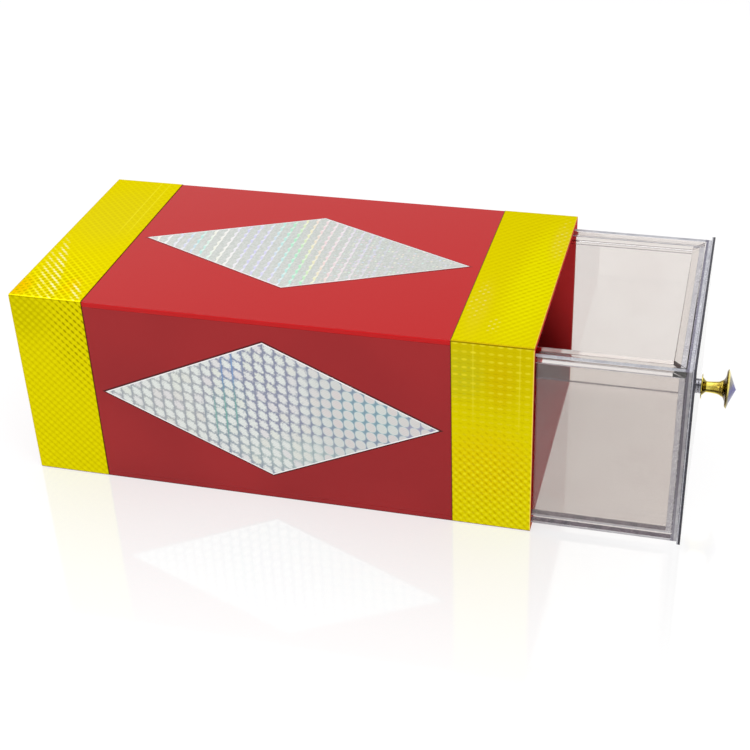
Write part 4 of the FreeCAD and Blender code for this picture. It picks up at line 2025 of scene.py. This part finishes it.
@dataclass
class Studio:
    """A pale floor, soft lamps, a white surround and the camera; metres, apart from the box's half sizes."""

    lamps: tuple[Lamp, ...] = (
        Lamp("key_lamp", (-0.3, 0.0, 1.7), (0.0, 0.0, 0.05), (2.3, 2.3), 25.0),
        Lamp("mouth_lamp", (1.2, -0.9, 1.15), (0.15, 0.05, 0.06), (0.7, 0.7), 7.0),
    )
    floor_reach: float = 6.0
    box_half: tuple[float, float] = (145.0, 76.0)
    ambient: float = 0.37
    camera_at: Point = (0.23784, -0.68458, 0.49042)
    camera_right: Point = (0.96601503, 0.25589216, -0.03652612)
    camera_up: Point = (-0.107149, 0.525016, 0.844320)
    camera_back: Point = (0.23523178, -0.81171248, 0.53459223)
    lens: float = 68.91
    sensor: float = 36.0

    def camera(self) -> None:
        """Set the camera up."""
        data = bpy.data.cameras.new("camera")
        data.lens, data.sensor_width = self.lens, self.sensor
        data.clip_start, data.clip_end = 0.01, 50.0
        made = bpy.data.objects.new("camera", data)
        bpy.context.scene.collection.objects.link(made)
        turn = Matrix((self.camera_right, self.camera_up, self.camera_back)).transposed()
        made.matrix_world = Matrix.Translation(self.camera_at) @ turn.to_4x4()
        bpy.context.scene.camera = made

    def floor(self) -> None:
        """Lay the floor, white to the eye, with a faint gloss."""
        bench = FinishBench("pale_floor")
        along, across, up = bench.places()
        grain = bench.cloud(bench.point(along, across, up), 0.02, 3.0, 0.5)
        plain = bench.shader(Base_Color=tone(214, 214, 214), Roughness=0.35)
        self_lit = bench.node("ShaderNodeEmission", tone(255, 255, 255), 0.78)
        lit = bench.node("ShaderNodeBsdfDiffuse", (0.27, 0.27, 0.27, 1.0))
        body = bench.node("ShaderNodeAddShader", self_lit.outputs[0], lit.outputs[0])
        gloss = bench.node("ShaderNodeBsdfGlossy", (1.0, 1.0, 1.0, 1.0), grain * 0.04 + 0.05)
        beyond_x = (along.size() - self.box_half[0]).larger(0.0)
        beyond_y = (across.size() - self.box_half[1]).larger(0.0)
        away = (beyond_x ** 2.0 + beyond_y ** 2.0).worked("SQRT")
        shine = away.step(190.0, -20.0) * 0.15 + 0.02
        shown = bench.node("ShaderNodeMixShader", shine, body.outputs[0], gloss.outputs[0])
        path = bench.node("ShaderNodeLightPath").outputs
        seen = Reading(bench, path["Is Camera Ray"]).larger(Reading(bench, path["Is Transmission Ray"]))
        seen = seen.larger(Reading(bench, path["Is Glossy Ray"]))
        mixed = bench.node("ShaderNodeMixShader", seen, plain.outputs[0], shown.outputs[0])
        material = bench.done(mixed.outputs[0])
        mesh = bmesh.new()
        bmesh.ops.create_grid(mesh, x_segments=1, y_segments=1, size=self.floor_reach)
        data = bpy.data.meshes.new("floor")
        mesh.to_mesh(data)
        mesh.free()
        data.materials.append(material)
        made = bpy.data.objects.new("floor", data)
        bpy.context.scene.collection.objects.link(made)

    def hang(self, lamp: Lamp) -> None:
        """Hang one lamp.

        Args:
            lamp: The lamp.
        """
        data = bpy.data.lights.new(lamp.name, "AREA")
        data.shape, data.energy = "RECTANGLE", lamp.power
        data.size, data.size_y = lamp.size
        made = bpy.data.objects.new(lamp.name, data)
        bpy.context.scene.collection.objects.link(made)
        made.location = lamp.at
        made.rotation_mode = "QUATERNION"
        made.rotation_quaternion = (Vector(lamp.aim) - Vector(lamp.at)).to_track_quat("-Z", "Y")

    def surround(self) -> None:
        """Set the white surround, dimmer where it only lights."""
        world = bpy.data.worlds.new("surround")
        bpy.context.scene.world = world
        world.use_nodes = True
        tree = world.node_tree
        tree.nodes.clear()
        path = tree.nodes.new("ShaderNodeLightPath").outputs
        seen = tree.nodes.new("ShaderNodeMath")
        seen.operation = "MAXIMUM"
        tree.links.new(path["Is Camera Ray"], seen.inputs[0])
        tree.links.new(path["Is Transmission Ray"], seen.inputs[1])
        place = tree.nodes.new("ShaderNodeSeparateXYZ")
        tree.links.new(tree.nodes.new("ShaderNodeTexCoord").outputs["Generated"], place.inputs[0])
        fall = tree.nodes.new("ShaderNodeMapRange")
        for index, value in enumerate((-0.6, 0.5, 1.0, 0.6)):
            fall.inputs[index + 1].default_value = value
        tree.links.new(place.outputs[0], fall.inputs[0])
        gloss = tree.nodes.new("ShaderNodeMix")
        gloss.data_type = "FLOAT"
        gloss.inputs[2].default_value = self.ambient
        tree.links.new(path["Is Glossy Ray"], gloss.inputs[0])
        tree.links.new(fall.outputs[0], gloss.inputs[3])
        level = tree.nodes.new("ShaderNodeMix")
        level.data_type = "FLOAT"
        level.inputs[3].default_value = 1.0
        tree.links.new(seen.outputs[0], level.inputs[0])
        tree.links.new(gloss.outputs[0], level.inputs[2])
        back = tree.nodes.new("ShaderNodeBackground")
        back.inputs[0].default_value = (1.0, 1.0, 1.0, 1.0)
        tree.links.new(level.outputs[0], back.inputs[1])
        tree.links.new(back.outputs[0], tree.nodes.new("ShaderNodeOutputWorld").inputs[0])

    def build(self) -> None:
        """Set the whole studio up."""
        self.camera()
        self.floor()
        for lamp in self.lamps:
            self.hang(lamp)
        self.surround()
        scene = bpy.context.scene
        scene.view_settings.view_transform = "Standard"
        LOG.info("studio: floor, %d lamps, surround and camera", len(self.lamps))


def dress_node(frame: dict, node: str, coat: Material) -> None:
    """Give a solid of the frame that stays as it is its finish.

    Args:
        frame: The loaded frame.
        node: The node.
        coat: Its material.
    """
    data = frame["nodes"][node].data
    data.materials.clear()
    data.materials.append(coat)
    LOG.info("%s: kept from the frame", node)


def main() -> None:
    """Load the frame, then build and dress every piece."""
    logging.basicConfig(level=logging.INFO, format="%(name)s: %(message)s")
    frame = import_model()
    Studio().build()
    sleeve = Sleeve()
    sleeve.build(RedSheet().build())
    FoilBands(sleeve).build(CLOSED_END_GOLD.build(), MOUTH_GOLD.build())
    flat_silver = SilverFoil("silver_foil_flat", Glitter.WAVES).build()
    FoilDiamonds(sleeve).build(SilverFoil().build(), flat_silver)
    brass = TurnedMetal(
        "turned_brass", tone(214, 178, 92), tone(176, 136, 58),
        roughness=0.22, axis_height=TurnCatch.height).build()
    steel = TurnedMetal("turned_steel", tone(196, 198, 200), tone(150, 152, 156), roughness=0.20).build()
    TurnCatch(sleeve).build(brass, steel)
    clear = ClearSheet().build()
    sheets = ClearParts(clear, SheetEdge().build())
    # Painted shade and reflection: a dark stripe on the front plate's edges, and darker edges for the floors
    # and rims.
    dark = tone(46, 44, 58)
    plate_edge = SheetEdge("plate_edge", clearness=0.3, stripe=dark, stripe_span=(223.4, 225.0)).build()
    floor_edge = SheetEdge("floor_edge", tone(128, 110, 124), tone(88, 76, 90), clearness=0.15).build()
    floors = ClearParts(clear, floor_edge)
    plate = ClearSheet("clear_plate", tone(236, 232, 233)).build()
    OuterDrawer().build(sheets, floors, ClearParts(plate, plate_edge))
    rims = ClearParts(ClearSheet("clear_rim", foot=InnerDrawer.rim_low, ior=1.30).build(), floor_edge)
    InnerDrawer().build(sheets, floors, rims)
    chrome = TurnedMetal("turned_chrome", tone(150, 150, 156), tone(84, 84, 92), roughness=0.08).build()
    Knob().build(TurnedMetal(dark_reflection_share=0.85).build(), chrome, Crystal().build())
    dress_node(frame, "knob_screw", steel)


if __name__ == "__main__":
    main()
